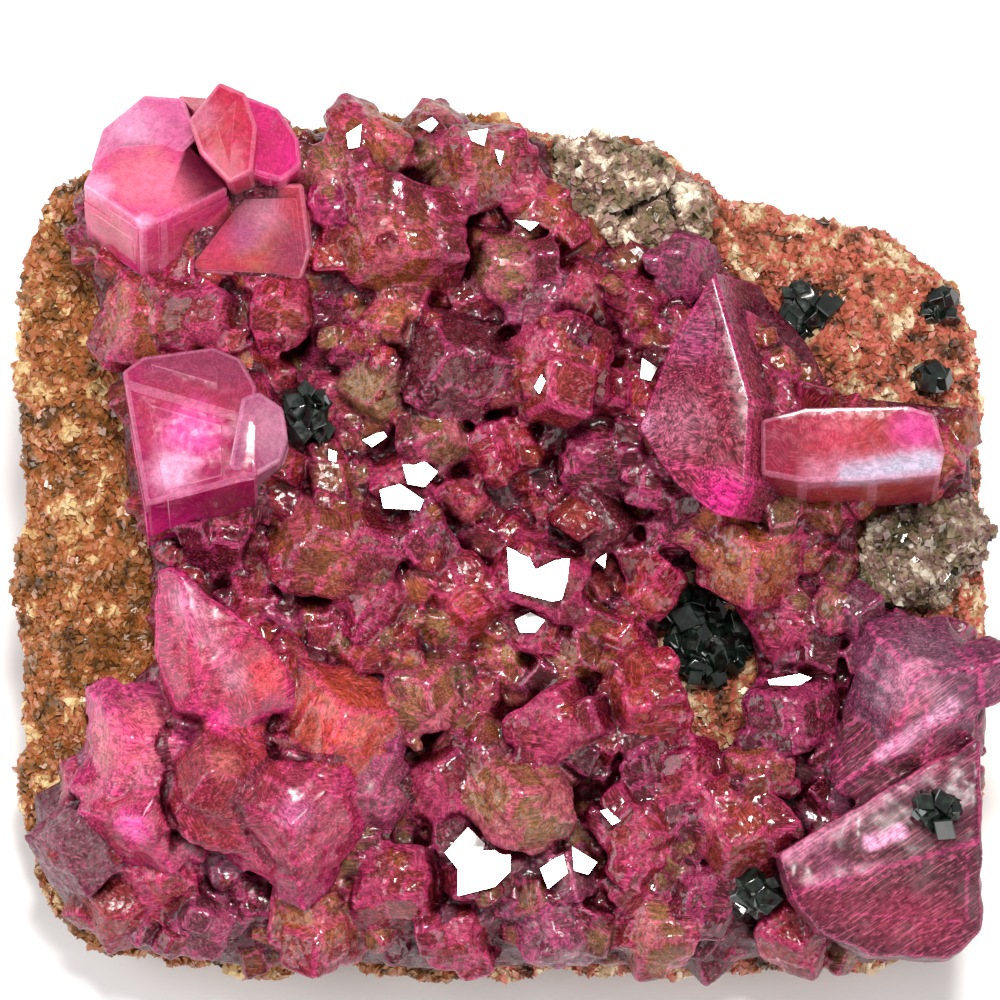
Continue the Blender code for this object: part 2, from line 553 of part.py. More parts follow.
def make_layer(name, area, holes, thickness, spacing, look):
    """A thin sheet that follows the rock, from below its surface to thickness above it."""
    rng = random.Random(SEED + 1)
    border = stepped(area, spacing * 0.8)
    flat = list(border)
    edges = [(i, (i + 1) % len(border)) for i in range(len(border))]
    for hole in holes:
        start = len(flat)
        ring = stepped(hole, spacing * 0.8)
        flat += ring
        edges += [(start + i, start + (i + 1) % len(ring)) for i in range(len(ring))]

    def is_free(u, v):
        return all(not inside(hole, u, v) and distance_to(hole, u, v) > 0.5 * spacing for hole in holes)

    edge_count = len(flat)
    flat += scattered(area, spacing, 0.5 * spacing, rng, is_free)
    made = delaunay_2d_cdt([Vector(p) for p in flat], edges, [], 1, 1e-5)
    triangles = []
    for face in made[2]:
        middle = sum((made[0][i] for i in face), Vector((0, 0))) / 3
        if not any(inside(hole, *middle) for hole in holes):
            triangles.append(list(face))
    count = len(made[0])
    points = []
    for i, (u, v) in enumerate(made[0]):
        rise = thickness * (LAYER_EDGE_SHARE if i < edge_count else 1.0)
        points.append((u, v, rock_surface(u, v) + GAP + rise))
    points += [(u, v, rock_surface(u, v) - LAYER_SINK) for u, v in made[0]]
    faces = triangles + [[i + count for i in reversed(face)] for face in triangles]
    once = {}
    for face in triangles:
        for a, b in zip(face, face[1:] + face[:1]):
            once[(a, b)] = (b, a) not in once
            if (b, a) in once:
                once[(b, a)] = False
    for (a, b), is_border in once.items():
        if is_border:
            faces.append([b, a, a + count, b + count])
    layer = new_object(name, points, faces, look)
    face_outward(layer)
    return layer


def standing(u, v, rise, size, lean_to, lean, turn, rng):
    """A carpet crystal with its middle rise above the layer."""
    w = rock_surface(u, v) + GAP + CARPET_THICKNESS + rise
    return rhombohedron((u, v, w), size * FACE_SHARE, lean_to, lean, turn, rng)


def may_stand(u, v):
    """Whether a small crystal may stand here: away from the hollow and from the dark clusters."""
    near_dark = any(math.hypot(u - row[0], v - row[1]) < row[2] + FILL_MARGIN for row in DARK_CLUSTERS)
    return not near_dark and not inside(HOLLOW, u, v) and distance_to(HOLLOW, u, v) > FILL_MARGIN


def carpet_crystals():
    """The named crystals of the pink carpet, then smaller ones wherever there is still room."""
    rng = random.Random(SEED + 2)
    made = [standing(*row, rng) for row in CARPET_CRYSTALS]
    taken = [(row[0], row[1], row[3]) for row in CARPET_CRYSTALS]
    fill = scattered(PINK_AREA, FILL_SPACING, FILL_MARGIN, rng, may_stand)
    for u, v in fill:
        size = rng.uniform(*FILL_SIZES)
        way = any_way(rng, 48)
        if all(math.hypot(u - x, v - y) > FILL_OVERLAP * (other + size) for x, y, other in taken):
            made.append(standing(u, v, rng.uniform(-0.5, 0.3), size, *way, rng))
            taken.append((u, v, size))
    return made


def pale_crystals(area, spacing, sizes, rng):
    made = []
    for u, v in scattered(area, spacing, 0.3, rng):
        size = rng.uniform(*sizes)
        centre = (u, v, rock_surface(u, v) + GAP + rng.uniform(*PALE_RISE))
        made.append(rhombohedron(centre, size, *any_way(rng, 60), rng))
    return made


def dark_crystals(u, v, half_u, half_v, count, rise, rng):
    """Planes of a low lump and of the blocky crystals round it."""
    ground = rock_surface(u, v) + rise
    above, below = DARK_LUMP
    lump = [(np.array((0.0, 0.0, 1.0)), ground + above), (np.array((0.0, 0.0, -1.0)), below - ground)]
    for i in range(DARK_LUMP_SIDES):
        angle = i * math.tau / DARK_LUMP_SIDES
        normal = np.array((math.cos(angle), math.sin(angle), 0.0))
        reach = math.hypot(half_u * normal[0], half_v * normal[1]) * 0.8
        lump.append((normal, normal @ (u, v, 0.0) + reach))
    made = [lump]
    for i in range(count):
        angle = i * math.tau / count + rng.uniform(-0.3, 0.3)
        reach = math.sqrt((i + 0.5) / count) * 0.75
        spot_u = u + half_u * reach * math.cos(angle * 2.4)
        spot_v = v + half_v * reach * math.sin(angle * 2.4)
        centre = (spot_u, spot_v, ground + above + rng.uniform(-0.2, 0.4))
        size = rng.uniform(*DARK_SIZES) * min(1.0, 0.45 + half_u * 0.5)
        made.append(rhombohedron(centre, size, *any_way(rng, 70), rng))
    return made


def helper_of(name, solids):
    """One hidden object of several convex solids, which may cross each other."""
    return new_object(name, *merged(polyhedron(planes) for planes in solids), helper=True)


def join_and_clear(obj, solids, clearances):
    """Joins the solids to the object, cuts the clearances away and keeps what is still one body."""
    if solids:
        boolean(obj, helper_of(obj.name + "_solids", solids), "UNION")
    for clearance in clearances:
        boolean(obj, clearance, "DIFFERENCE")
    keep_largest_body(obj)


def make_grown_together(name, solids, clearances, look):
    """One solid of several that overlap, cut clear of what they stand on."""
    first = new_object(name, *polyhedron(solids[0]), look)
    join_and_clear(first, solids[1:], clearances)


def main():
    for old in list(bpy.data.objects):
        bpy.data.objects.remove(old)
    stone = material("brown_rock", (0.30, 0.16, 0.07), 0.7)
    pink = material("pink_dolomite", (0.55, 0.03, 0.16), 0.2, 0.6)
    pale = material("pale_grains", (0.45, 0.38, 0.32), 0.4, 0.4)
    dark = material("dark_crystals", (0.01, 0.02, 0.015), 0.3)

    rock = make_rock(stone)
    clearances = [clearance_of(rock)]

    rng = random.Random(SEED + 3)
    for name, (blocks, rhombs) in LARGE_CRYSTALS.items():
        solids = [block(*row) for row in blocks]
        solids += [rhombohedron(row[:3], *row[3:], rng) for row in rhombs]
        make_grown_together(name, solids, clearances, pink)
        clearances.append(helper_of(name + "_clearance", [grown(planes) for planes in solids]))

    dark_clearances = []
    for number, row in enumerate(DARK_CLUSTERS, 1):
        solids = dark_crystals(*row, rng)
        make_grown_together(f"dark_cluster_{number}", solids, clearances, dark)
        dark_clearances += [grown(planes) for planes in solids]
    clearances.append(helper_of("dark_clearance", dark_clearances))

    for name, area, spacing, sizes in PALE_PATCHES:
        layer = make_layer(name, area, [], PALE_THICKNESS, spacing * 1.3, pale)
        solids = pale_crystals(area, spacing, sizes, rng)
        layer_clearance = clearance_of(layer)
        join_and_clear(layer, solids, clearances)
        clearances.append(layer_clearance)
        clearances.append(helper_of(name + "_clearance", [grown(planes) for planes in solids]))

    layer = make_layer("crystal_crust", PINK_AREA, [HOLLOW], CARPET_THICKNESS, LAYER_SPACING, pink)
    join_and_clear(layer, carpet_crystals(), clearances)


main()
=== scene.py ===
# %% [markdown]
# # Pink dolomite on brown rock
# A mineral specimen: raspberry pink dolomite crystals, each a slanted block called a rhombohedron,
# grown over a piece of brown, sugary dolomite rock that was trimmed flat underneath. The specimen lies on
# that flat back with its crystal face up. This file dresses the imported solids: every cell makes one kind
# of form or one finish, and says why it is made that way.

import itertools
import json
import math
import random

import bmesh
import bpy
import numpy as np
from mathutils import Matrix, Vector, noise
from mathutils.bvhtree import BVHTree
from mathutils.geometry import delaunay_2d_cdt

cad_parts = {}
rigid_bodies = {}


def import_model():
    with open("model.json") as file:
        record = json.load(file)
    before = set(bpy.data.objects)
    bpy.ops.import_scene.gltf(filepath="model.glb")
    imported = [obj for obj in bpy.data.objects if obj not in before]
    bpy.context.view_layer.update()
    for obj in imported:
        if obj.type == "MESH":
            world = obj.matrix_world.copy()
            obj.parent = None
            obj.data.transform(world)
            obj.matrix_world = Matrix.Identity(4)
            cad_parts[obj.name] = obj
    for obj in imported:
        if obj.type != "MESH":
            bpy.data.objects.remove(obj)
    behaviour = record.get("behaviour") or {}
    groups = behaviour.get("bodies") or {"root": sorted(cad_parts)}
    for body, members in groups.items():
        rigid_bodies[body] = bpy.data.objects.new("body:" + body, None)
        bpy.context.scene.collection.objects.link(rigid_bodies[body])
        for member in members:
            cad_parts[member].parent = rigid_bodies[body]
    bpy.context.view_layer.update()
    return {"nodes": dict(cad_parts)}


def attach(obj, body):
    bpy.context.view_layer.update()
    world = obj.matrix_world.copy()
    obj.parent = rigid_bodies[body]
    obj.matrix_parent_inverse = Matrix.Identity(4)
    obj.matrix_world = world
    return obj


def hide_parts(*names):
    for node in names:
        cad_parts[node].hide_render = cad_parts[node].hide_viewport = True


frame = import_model()
print("frame:", len(frame["nodes"]), "solids")

# %% [markdown]
# ## The face's own frame
# A crystal face is easiest to lay out flat, like a map: u runs to the right, v up the slope of the face
# and w straight out of it, all in millimetres. One function turns such a point into a place in the world.
# The meshes are modelled in millimetres too, because some mesh tools lose precision on tiny numbers, and
# are shrunk to metres at the very end.

# %% The frame of the crystal face, in millimetres
MM = 0.001                          # one millimetre in Blender's metres
FACE_TILT = math.radians(18.0)      # the face leans this far towards -Y
FACE_HEIGHT = 16.0                  # its middle is this high above the flat back
FACE_SETBACK = -0.5                 # and this far along Y


def to_world(point):
    """A point (u, v, w) of the face's frame as a world position, still in millimetres."""
    u, v, w = point
    across = v * math.cos(FACE_TILT) - w * math.sin(FACE_TILT) + FACE_SETBACK
    up = v * math.sin(FACE_TILT) + w * math.cos(FACE_TILT) + FACE_HEIGHT
    return Vector((u, across, up))


def to_face(position):
    """A world position in millimetres as (u, v, w)."""
    across, up = position[1] - FACE_SETBACK, position[2] - FACE_HEIGHT
    along = across * math.cos(FACE_TILT) + up * math.sin(FACE_TILT)
    return (position[0], along, up * math.cos(FACE_TILT) - across * math.sin(FACE_TILT))


# %% [markdown]
# ## Camera
# The camera looks squarely at the crystal face, along -w, from 30 cm away and through a long lens, so that
# near and far crystals keep their sizes. The frame is then 50 mm wide at the face.

# %% Camera
CAMERA_DISTANCE = 300.0
FIELD = 50.0                        # width of the view at the face, in mm
SENSOR = 36.0


def linked(name, data):
    """A new object of the scene."""
    obj = bpy.data.objects.new(name, data)
    bpy.context.scene.collection.objects.link(obj)
    return obj


camera = linked("camera", bpy.data.cameras.new("camera"))
camera.location = to_world((0, 0, CAMERA_DISTANCE)) * MM
camera.rotation_euler = (FACE_TILT, 0, 0)
camera.data.sensor_width = SENSOR
camera.data.lens = SENSOR * CAMERA_DISTANCE / FIELD
camera.data.clip_start = 0.01
bpy.context.scene.camera = camera
print("camera: lens", camera.data.lens, "mm")

# %% [markdown]
# ## Light and floor
# Crystals live from contrast: a small strong lamp makes single facets flash, a wide dim one keeps the
# shadows open, and the world adds a little light from everywhere. The strong lamp stands beyond the top
# of the face, so a facet flashes when it leans half of the lamp's angle that way. The floor is white
# paper.

# %% Lamps, world and floor
LAMP_ANGLE = math.radians(26.0)     # from w towards +v
LAMP_DISTANCE = 500.0
LAMP_RIGHT = 35.0
LAMP_SIDE = 90.0
LAMP_PLACE = (LAMP_RIGHT, LAMP_DISTANCE * math.sin(LAMP_ANGLE), LAMP_DISTANCE * math.cos(LAMP_ANGLE))


def area_lamp(name, place, side, power, colour):
    """A square lamp that looks at the middle of the face."""
    data = bpy.data.lights.new(name, "AREA")
    data.shape = "SQUARE"
    data.size = side * MM
    data.energy = power
    data.color = colour
    lamp = linked(name, data)
    lamp.location = to_world(place) * MM
    aim = to_world((0, 0, 0)) * MM - lamp.location
    lamp.rotation_euler = aim.to_track_quat("-Z", "Y").to_euler()
    return lamp


area_lamp("key_lamp", LAMP_PLACE, LAMP_SIDE, 2.3, (1.0, 0.98, 0.95))
area_lamp("left_fill", (-420.0, 60.0, 260.0), 350.0, 1.6, (0.95, 0.97, 1.0))
area_lamp("right_fill", (380.0, -220.0, 300.0), 350.0, 1.1, (1.0, 0.96, 0.94))

WORLD_LIGHT = 0.42
world = bpy.data.worlds.new("studio")
world.use_nodes = True
world.node_tree.nodes["Background"].inputs["Color"].default_value = (1.0, 1.0, 1.0, 1.0)
world.node_tree.nodes["Background"].inputs["Strength"].default_value = WORLD_LIGHT
bpy.context.scene.world = world
bpy.context.scene.view_settings.view_transform = "Standard"

FLOOR_HALF = 0.6                    # half the side of the floor, in metres
floor_mesh = bpy.data.meshes.new("floor")
floor_mesh.from_pydata(
    [(x * FLOOR_HALF, y * FLOOR_HALF, 0) for x, y in ((-1, -1), (1, -1), (1, 1), (-1, 1))], [], [(0, 1, 2, 3)])
floor = linked("floor", floor_mesh)
paper = bpy.data.materials.new("white_paper")
paper.use_nodes = True
paper.node_tree.nodes["Principled BSDF"].inputs["Base Color"].default_value = (0.93, 0.93, 0.93, 1.0)
paper.node_tree.nodes["Principled BSDF"].inputs["Roughness"].default_value = 0.9
floor_mesh.materials.append(paper)
print("light: key lamp at", [round(x) for x in LAMP_PLACE], "mm on the face's frame")

# %% [markdown]
# ## Colours
# The pink comes from a trace of cobalt, and it isn't even: many crystals are zoned, with an orange or tan
# heart, grown early, under a raspberry rim. So each crystal gets two colours, a rim and a heart, from a
# short list of named pairs. They are written as screen colours and turned into linear light here.


# %% Named colour pairs: rim and heart of a crystal
def screen(red, green, blue):
    """A screen colour (0 to 255) as linear light."""
    shares = [c / 255 for c in (red, green, blue)]
    return tuple(s / 12.92 if s <= 0.04045 else ((s + 0.055) / 1.055) ** 2.4 for s in shares)


PAIRS = {
    "raspberry": (screen(196, 32, 78), screen(186, 62, 64)),
    "red": (screen(202, 32, 66), screen(206, 78, 54)),
    "magenta": (screen(222, 34, 118), screen(198, 54, 88)),
    "wine": (screen(152, 28, 66), screen(128, 42, 52)),
    "orange": (screen(200, 46, 74), screen(210, 118, 60)),
    "tan": (screen(188, 58, 80), screen(192, 138, 86)),
    "mauve": (screen(182, 68, 114), screen(158, 90, 106)),
    "lilac": (screen(214, 100, 154), screen(196, 134, 164)),
    "rose": (screen(232, 70, 138), screen(236, 124, 132)),
}
print("colour pairs:", ", ".join(PAIRS))

# %% [markdown]
# ## Outlines and areas
# Everything on the face is placed inside drawn outlines. These few functions ask whether a point is
# inside one, how far it is from its edge, and scatter points over it on a shaken grid, which looks natural
# and still fills evenly.


# %% Outline helpers
SHAKE = 0.28                        # how far scattered points are shaken, as a share of their spacing


def inside(area, u, v):
    """Whether a point lies inside a closed outline."""
    hit = False
    for (u0, v0), (u1, v1) in zip(area, area[1:] + area[:1]):
        if (v0 > v) != (v1 > v) and u < u0 + (v - v0) * (u1 - u0) / (v1 - v0):
            hit = not hit
    return hit


def distance_to(area, u, v):
    """Shortest distance from a point to a closed outline."""
    best = math.inf
    for (u0, v0), (u1, v1) in zip(area, area[1:] + area[:1]):
        du, dv = u1 - u0, v1 - v0
        along = max(0.0, min(1.0, ((u - u0) * du + (v - v0) * dv) / (du * du + dv * dv)))
        best = min(best, math.hypot(u - u0 - along * du, v - v0 - along * dv))
    return best


def stepped(area, step):
    """The outline again, with a point about every step."""
    points = []
    for (u0, v0), (u1, v1) in zip(area, area[1:] + area[:1]):
        count = max(1, round(math.hypot(u1 - u0, v1 - v0) / step))
        for i in range(count):
            points.append((u0 + (u1 - u0) * i / count, v0 + (v1 - v0) * i / count))
    return points


def scattered(area, spacing, margin, rng, keep=None):
    """Points of a shaken triangular grid inside an outline, at least margin from it."""
    lowest = [min(p[axis] for p in area) for axis in (0, 1)]
    highest = [max(p[axis] for p in area) for axis in (0, 1)]
    row_step = spacing * math.sqrt(3) / 2
    shake = spacing * SHAKE
    points = []
    for row in range(int((highest[1] - lowest[1]) / row_step) + 2):
        for column in range(int((highest[0] - lowest[0]) / spacing) + 2):
            u = lowest[0] + (column + 0.5 * (row % 2)) * spacing + rng.uniform(-shake, shake)
            v = lowest[1] + row * row_step + rng.uniform(-shake, shake)
            wanted = keep is None or keep(u, v)
            if wanted and inside(area, u, v) and distance_to(area, u, v) > margin:
                points.append((u, v))
    return points


def smoothstep(x):
    """A soft step from 0 to 1."""
    x = max(0.0, min(1.0, x))
    return x * x * (3 - 2 * x)


print("helpers for outlines are ready")

# %% [markdown]
# ## The ground the crystals stand on
# The rock under the crystals is a gentle dome with mounds, hollows and pits. A formula gives its height at
# any place, so that every crystal can be planted on it. Smooth bumps make the mounds, and noise makes the
# small unevenness that a broken rock has.

# %% The rock's height
ROCK_LEVEL = -3.0
RIM_DROP = 1.4
RIM_WIDTH = 2.6
DOME_RADIUS = 30.0
DOME_DROP = 1.6
LUMPS = ((4.5, 0.9, 3.0), (2.2, 0.7, 9.0))      # (size of the lumps, height, place in the noise)
PIT_DEPTH = 1.0
GAP = 0.3                           # the solids stand this far clear of each other

OUTLINE = (
    (-24.1, 12.0), (-22.5, 15.7), (-21.0, 16.4), (-18.5, 17.5), (-15.0, 18.2), (-12.0, 18.5),
    (-9.5, 18.7), (-7.5, 19.3), (-3.5, 19.5), (0.0, 19.3), (2.2, 18.5), (5.0, 18.4),
    (7.5, 18.0), (10.0, 16.4), (11.7, 15.0), (13.5, 14.8), (15.5, 14.2), (18.0, 13.9),
    (19.7, 13.6), (20.7, 12.5), (22.0, 11.4), (23.2, 10.0), (24.2, 7.5), (24.6, 3.5),
    (24.2, -1.0), (24.6, -6.0), (24.2, -11.0), (24.5, -15.0), (24.0, -19.0), (22.5, -22.5),
    (19.0, -24.1), (14.0, -23.7), (9.0, -24.4), (3.0, -24.0), (-2.5, -24.5), (-8.0, -23.9),
    (-13.5, -24.2), (-18.5, -23.5), (-22.0, -22.0), (-23.9, -19.0), (-24.4, -14.0), (-24.0, -9.0),
    (-24.6, -4.0), (-24.1, 1.0), (-24.5, 6.0),
)
LANDFORMS = (                       # mounds and hollows (u, v, radius, height)
    (-15.5, 14.5, 5.5, 2.6), (-15.0, 4.0, 4.5, 1.6), (-14.5, -11.5, 6.0, 1.4), (10.8, 4.5, 4.5, 1.2),
    (19.5, -16.5, 5.5, 1.0), (10.5, -7.0, 3.4, -1.6), (-11.3, -18.6, 3.0, -1.0), (17.7, -9.8, 2.0, -1.0),
    (5.9, 6.0, 2.0, -0.8), (-22.5, 2.0, 6.0, -0.5), (17.0, 8.5, 5.0, 0.9),
)
PITS = ((15.3, 9.6, 1.3), (17.3, 8.0, 1.0), (22.2, 9.9, 1.0), (21.8, 6.1, 0.9), (-19.2, -0.9, 0.7))


def rock_surface(u, v):
    """Height w of the rock's upper side."""
    w = ROCK_LEVEL - DOME_DROP * (math.hypot(u, v) / DOME_RADIUS) ** 4
    for centre_u, centre_v, radius, height in LANDFORMS:
        w += height * math.exp(-((u - centre_u) ** 2 + (v - centre_v) ** 2) / radius ** 2)
    for centre_u, centre_v, radius in PITS:
        w -= PIT_DEPTH * math.exp(-((u - centre_u) ** 2 + (v - centre_v) ** 2) / radius ** 2)
    for size, height, place in LUMPS:
        w += height * noise.noise(Vector((u, v, place)) / size)
    w -= RIM_DROP * (1 - smoothstep(distance_to(OUTLINE, u, v) / RIM_WIDTH))
    return w


print("rock height in the middle:", round(rock_surface(0, 0), 2), "mm")

# %% [markdown]
# ## The form of a dolomite crystal
# A dolomite crystal is a rhombohedron: a box pushed over along its body diagonal, with six equal faces.
# The simplest exact way to make such a form is by planes: three pairs of parallel planes, each at the right
# angle to the crystal's long axis, cut the solid out of space. Big crystals here are given by the outline
# of their nearest face instead, with sides that run back into the rock. Both come out as a list of planes,
# so that the same tools work on both.

# %% Planes of a crystal
POLAR_ANGLE = math.radians(43.9)    # between the crystal's long axis and a face's normal
UNEVEN = (0.88, 1.1)                # how unevenly the faces sit
CUT_CHANCE = 0.3                    # how many crystals have an end cut square
CUT_REACH = (0.62, 0.74)
ANY_SIDE = (0.31, 0.83, 0.46)       # a direction to measure turns from


def rhombohedron(centre, size, lean_to, lean, turn, rng):
    """Planes (normal, distance) of a crystal whose axis leans from w by lean, towards lean_to."""
    lean_to, lean, turn = map(math.radians, (lean_to, lean, turn))
    axis = np.array((math.sin(lean) * math.cos(lean_to), math.sin(lean) * math.sin(lean_to), math.cos(lean)))
    side = np.cross(axis, ANY_SIDE)
    side /= np.linalg.norm(side)
    other = np.cross(axis, side)
    centre = np.array(centre)
    planes = []
    for third in range(3):
        angle = turn + third * math.tau / 3
        radial = math.cos(angle) * side + math.sin(angle) * other
        normal = math.cos(POLAR_ANGLE) * axis + math.sin(POLAR_ANGLE) * radial
        for sign in (1, -1):
            reach = size / 2 * rng.uniform(*UNEVEN)
            planes.append((sign * normal, sign * normal @ centre + reach))
    if rng.random() < CUT_CHANCE:
        planes.append((axis, axis @ centre + size * rng.uniform(*CUT_REACH)))
    return planes


def sloping_plane(point, slopes):
    """The plane through a point that rises by slopes along u and v, and faces out."""
    normal = np.array((-slopes[0], -slopes[1], 1.0))
    normal /= np.linalg.norm(normal)
    return normal, normal @ np.array(point)


def block(outline, height, slopes, run, cuts=()):
    """Planes of a crystal with a flat near face of this outline, whose sides run back along run."""
    base_u, base_v = outline[0]
    corners = [
        np.array((u, v, height + slopes[0] * (u - base_u) + slopes[1] * (v - base_v))) for u, v in outline
    ]
    run = np.array(run)
    middle = np.mean(corners, axis=0) + run / 2
    front, reach = sloping_plane(corners[0], slopes)
    planes = [(front, reach), (-front, -front @ (corners[0] + run))]
    planes += [sloping_plane(*cut) for cut in cuts]
    for here, there in zip(corners, corners[1:] + corners[:1]):
        normal = np.cross(there - here, run)
        normal /= np.linalg.norm(normal)
        if normal @ (here - middle) < 0:
            normal = -normal
        planes.append((normal, normal @ here))
    return planes


def grown(planes, by):
    """The planes, all moved outwards."""
    return [(normal, distance + by) for normal, distance in planes]


print("a crystal is", len(rhombohedron((0, 0, 0), 1, 0, 0, 0, random.Random(1))), "planes or so")

# %% [markdown]
# ## From planes to a solid
# The corners are where three planes meet and no other plane cuts them off. All trios are solved at once
# with numpy, which keeps hundreds of crystals quick, and a convex hull spans the faces. Every solid gets
# rounded edges with a bevel, because no real edge is a perfect line: the narrow round catches the light.
# Each face also remembers the crystal it belongs to (the place of its heart, its girth, its two colours,
# how light and how polished it is, and whether it is the round of an edge), which the finish reads later.

# %% Solids with their own colours
LOOK_LAYERS = {"heart": ("FLOAT_VECTOR", "vector", 3), "girth": ("FLOAT", "value", 1),
               "tint": ("FLOAT", "value", 1), "polish": ("FLOAT", "value", 1), "edge": ("FLOAT", "value", 1),
               "rim_colour": ("FLOAT_COLOR", "color", 4), "heart_colour": ("FLOAT_COLOR", "color", 4)}
SAME_CORNER = 0.01                  # corners closer than this are one, in mm
SAME_PLANE = math.radians(0.5)      # and faces that turn less than this are one
TINY = 1e-5
ROUND_PROFILE = 0.6


def polyhedron(planes):
    """Corners and faces of the convex solid behind all planes."""
    normals = np.array([n for n, _ in planes])
    distances = np.array([d for _, d in planes])
    trios = np.array(list(itertools.combinations(range(len(planes)), 3)))
    matrices = normals[trios]
    trios = trios[np.abs(np.linalg.det(matrices)) > TINY]
    found = np.linalg.solve(normals[trios], distances[trios][..., None])[..., 0]
    found = found[(found @ normals.T <= distances + TINY).all(axis=1)]
    edit = bmesh.new()
    for corner in found:
        if all(np.abs(corner - point.co).max() > SAME_CORNER for point in edit.verts):
            edit.verts.new(corner)
    bmesh.ops.convex_hull(edit, input=edit.verts[:])
    bmesh.ops.dissolve_limit(edit, angle_limit=SAME_PLANE, verts=edit.verts[:], edges=edit.edges[:])
    edit.verts.index_update()
    corners = [np.array(point.co) for point in edit.verts]
    faces = [[point.index for point in face.verts] for face in edit.faces]
    edit.free()
    return corners, faces


def closed_shell(points, faces):
    """An editable mesh of these faces, which look out. Points that no face uses are left out."""
    edit = bmesh.new()
    points = [edit.verts.new(point) for point in points]
    for ring in faces:
        edit.faces.new([points[i] for i in ring])
    bmesh.ops.delete(edit, geom=[p for p in edit.verts if not p.link_faces], context="VERTS")
    bmesh.ops.recalc_face_normals(edit, faces=edit.faces)
    if edit.calc_volume(signed=True) < 0:
        bmesh.ops.reverse_faces(edit, faces=edit.faces)
    return edit


def store(mesh, layer, values):
    """Stores one look for each face: the values of all faces, in one row."""
    kind, field, _ = LOOK_LAYERS[layer]
    mesh.attributes.new(layer, kind, "FACE").data.foreach_set(field, values)


def with_looks(edit, heart, girth, tint, polish, edge, pair):
    """The edited mesh as a mesh whose faces carry their crystal's looks. Heart and girth are in metres."""
    mesh = bpy.data.meshes.new("solid")
    edit.to_mesh(mesh)
    edit.free()
    count = len(mesh.polygons)
    looks = {"heart": tuple(heart) * count, "girth": (girth,) * count, "tint": (tint,) * count,
             "polish": (polish,) * count, "edge": edge, "rim_colour": (*pair[0], 1.0) * count,
             "heart_colour": (*pair[1], 1.0) * count}
    for layer, values in looks.items():
        store(mesh, layer, values)
    return mesh


def shape_mesh(shape, bevel, segments, heart, girth, pair, tint=0.5, polish=0.0):
    """A bevelled mesh of (corners, faces), in world millimetres, which carries its crystal's looks."""
    corners, faces = shape
    edit = closed_shell([to_world(corner) for corner in corners], faces)
    rounds = []
    if bevel:
        rounds = bmesh.ops.bevel(edit, geom=edit.edges[:], offset=bevel, segments=segments,
                                 profile=ROUND_PROFILE, affect="EDGES", clamp_overlap=True)["faces"]
    edit.faces.index_update()
    edge = [0.0] * len(edit.faces)
    for face in rounds:
        edge[face.index] = 1.0
    return with_looks(edit, to_world(heart) * MM, girth * MM, tint, polish, edge, pair)


def solid_mesh(planes, *look):
    return shape_mesh(polyhedron(planes), *look)


def middle_of(planes):
    return np.mean(polyhedron(planes)[0], axis=0)


def varied(name, rng, spread=0.16):
    """A named colour pair, a little lighter or darker and warmer or cooler each time."""
    light = 1 + rng.uniform(-spread, spread)
    warm = 1 + rng.uniform(-spread, spread) / 2
    return [tuple(min(1.0, c * light * f) for c, f in zip(colour, (warm, 1.0, 2 - warm))) for colour in PAIRS[name]]


# %% [markdown]
# ## Growth steps and offshoots
# A dolomite crystal doesn't grow as one perfect block. Thin plates spread over its faces and stop short of
# the edges, so the faces look stepped. And new crystals start on the old one, turned almost the same way:
# dozens of them make the rounded, knobbly crystals that this mineral is known for. A plate is the same
# crystal again, with one face a hair further out and its neighbours drawn in. An offshoot is the same
# crystal again, made small, turned a little and half sunk into one of its faces.

# %% Plates and offshoots of a crystal
FRONT_LIMIT = -0.15                 # faces that look further away from the viewer get none
PLATE_STEPS = (0.5, 1.5)            # how the step and the draw-in of a plate vary
DRAW_IN = (0.05, 1.0)
SINK_VARIES = (0.8, 1.1)


def plates(planes, count, step, draw_in, rng):
    """Solids that stand out of the crystal's front faces by about step, and stop short of its edges."""
    fronts = [i for i, (normal, _) in enumerate(planes) if normal[2] > FRONT_LIMIT]
    made = []
    for _ in range(count):
        chosen = rng.choice(fronts)
        rise = step * rng.uniform(*PLATE_STEPS)
        plate = []
        for i, (normal, distance) in enumerate(planes):
            moved = rise if i == chosen else -draw_in * rng.uniform(*DRAW_IN) ** 1.5
            plate.append((normal, distance + moved))
        made.append(plate)
    return made


def front_spots(shape, count, rng):
    """Random places on the front faces of a shape, more of them on the larger faces: (place, normal)."""
    corners, faces = shape
    found, areas = [], []
    for ring in faces:
        points = [corners[i] for i in ring]
        normal = sum(np.cross(a, b) for a, b in zip(points, points[1:] + points[:1]))
        area = np.linalg.norm(normal)
        outward = normal @ (np.mean(points, axis=0) - np.mean(corners, axis=0))
        normal = normal / area * (1 if outward > 0 else -1)
        if normal[2] > FRONT_LIMIT:
            found.append((points, normal))
            areas.append(area)
    spots = []
    for points, normal in rng.choices(found, areas, k=count) if found else []:
        shares = np.array([rng.random() ** 2 for _ in points])
        spots.append((shares @ np.array(points) / shares.sum(), normal))
    return spots


def offshoots(shape, count, shares, twist, sink, rng):
    """Small copies of the shape that grow half sunk on its front faces, each twisted a few degrees."""
    corners, faces = shape
    middle = np.mean(corners, axis=0)
    made = []
    for place, normal in front_spots(shape, count, rng):
        share = rng.uniform(*shares)
        axis = Vector([rng.gauss(0, 1) for _ in range(3)]).normalized()
        turn = np.array(Matrix.Rotation(math.radians(rng.uniform(-twist, twist)), 3, axis))
        depth = np.abs((np.array(corners) - middle) @ normal).max() * share
        centre = place - normal * depth * sink * rng.uniform(*SINK_VARIES)
        made.append(([centre + share * (turn @ (c - middle)) for c in corners], faces))
    return made
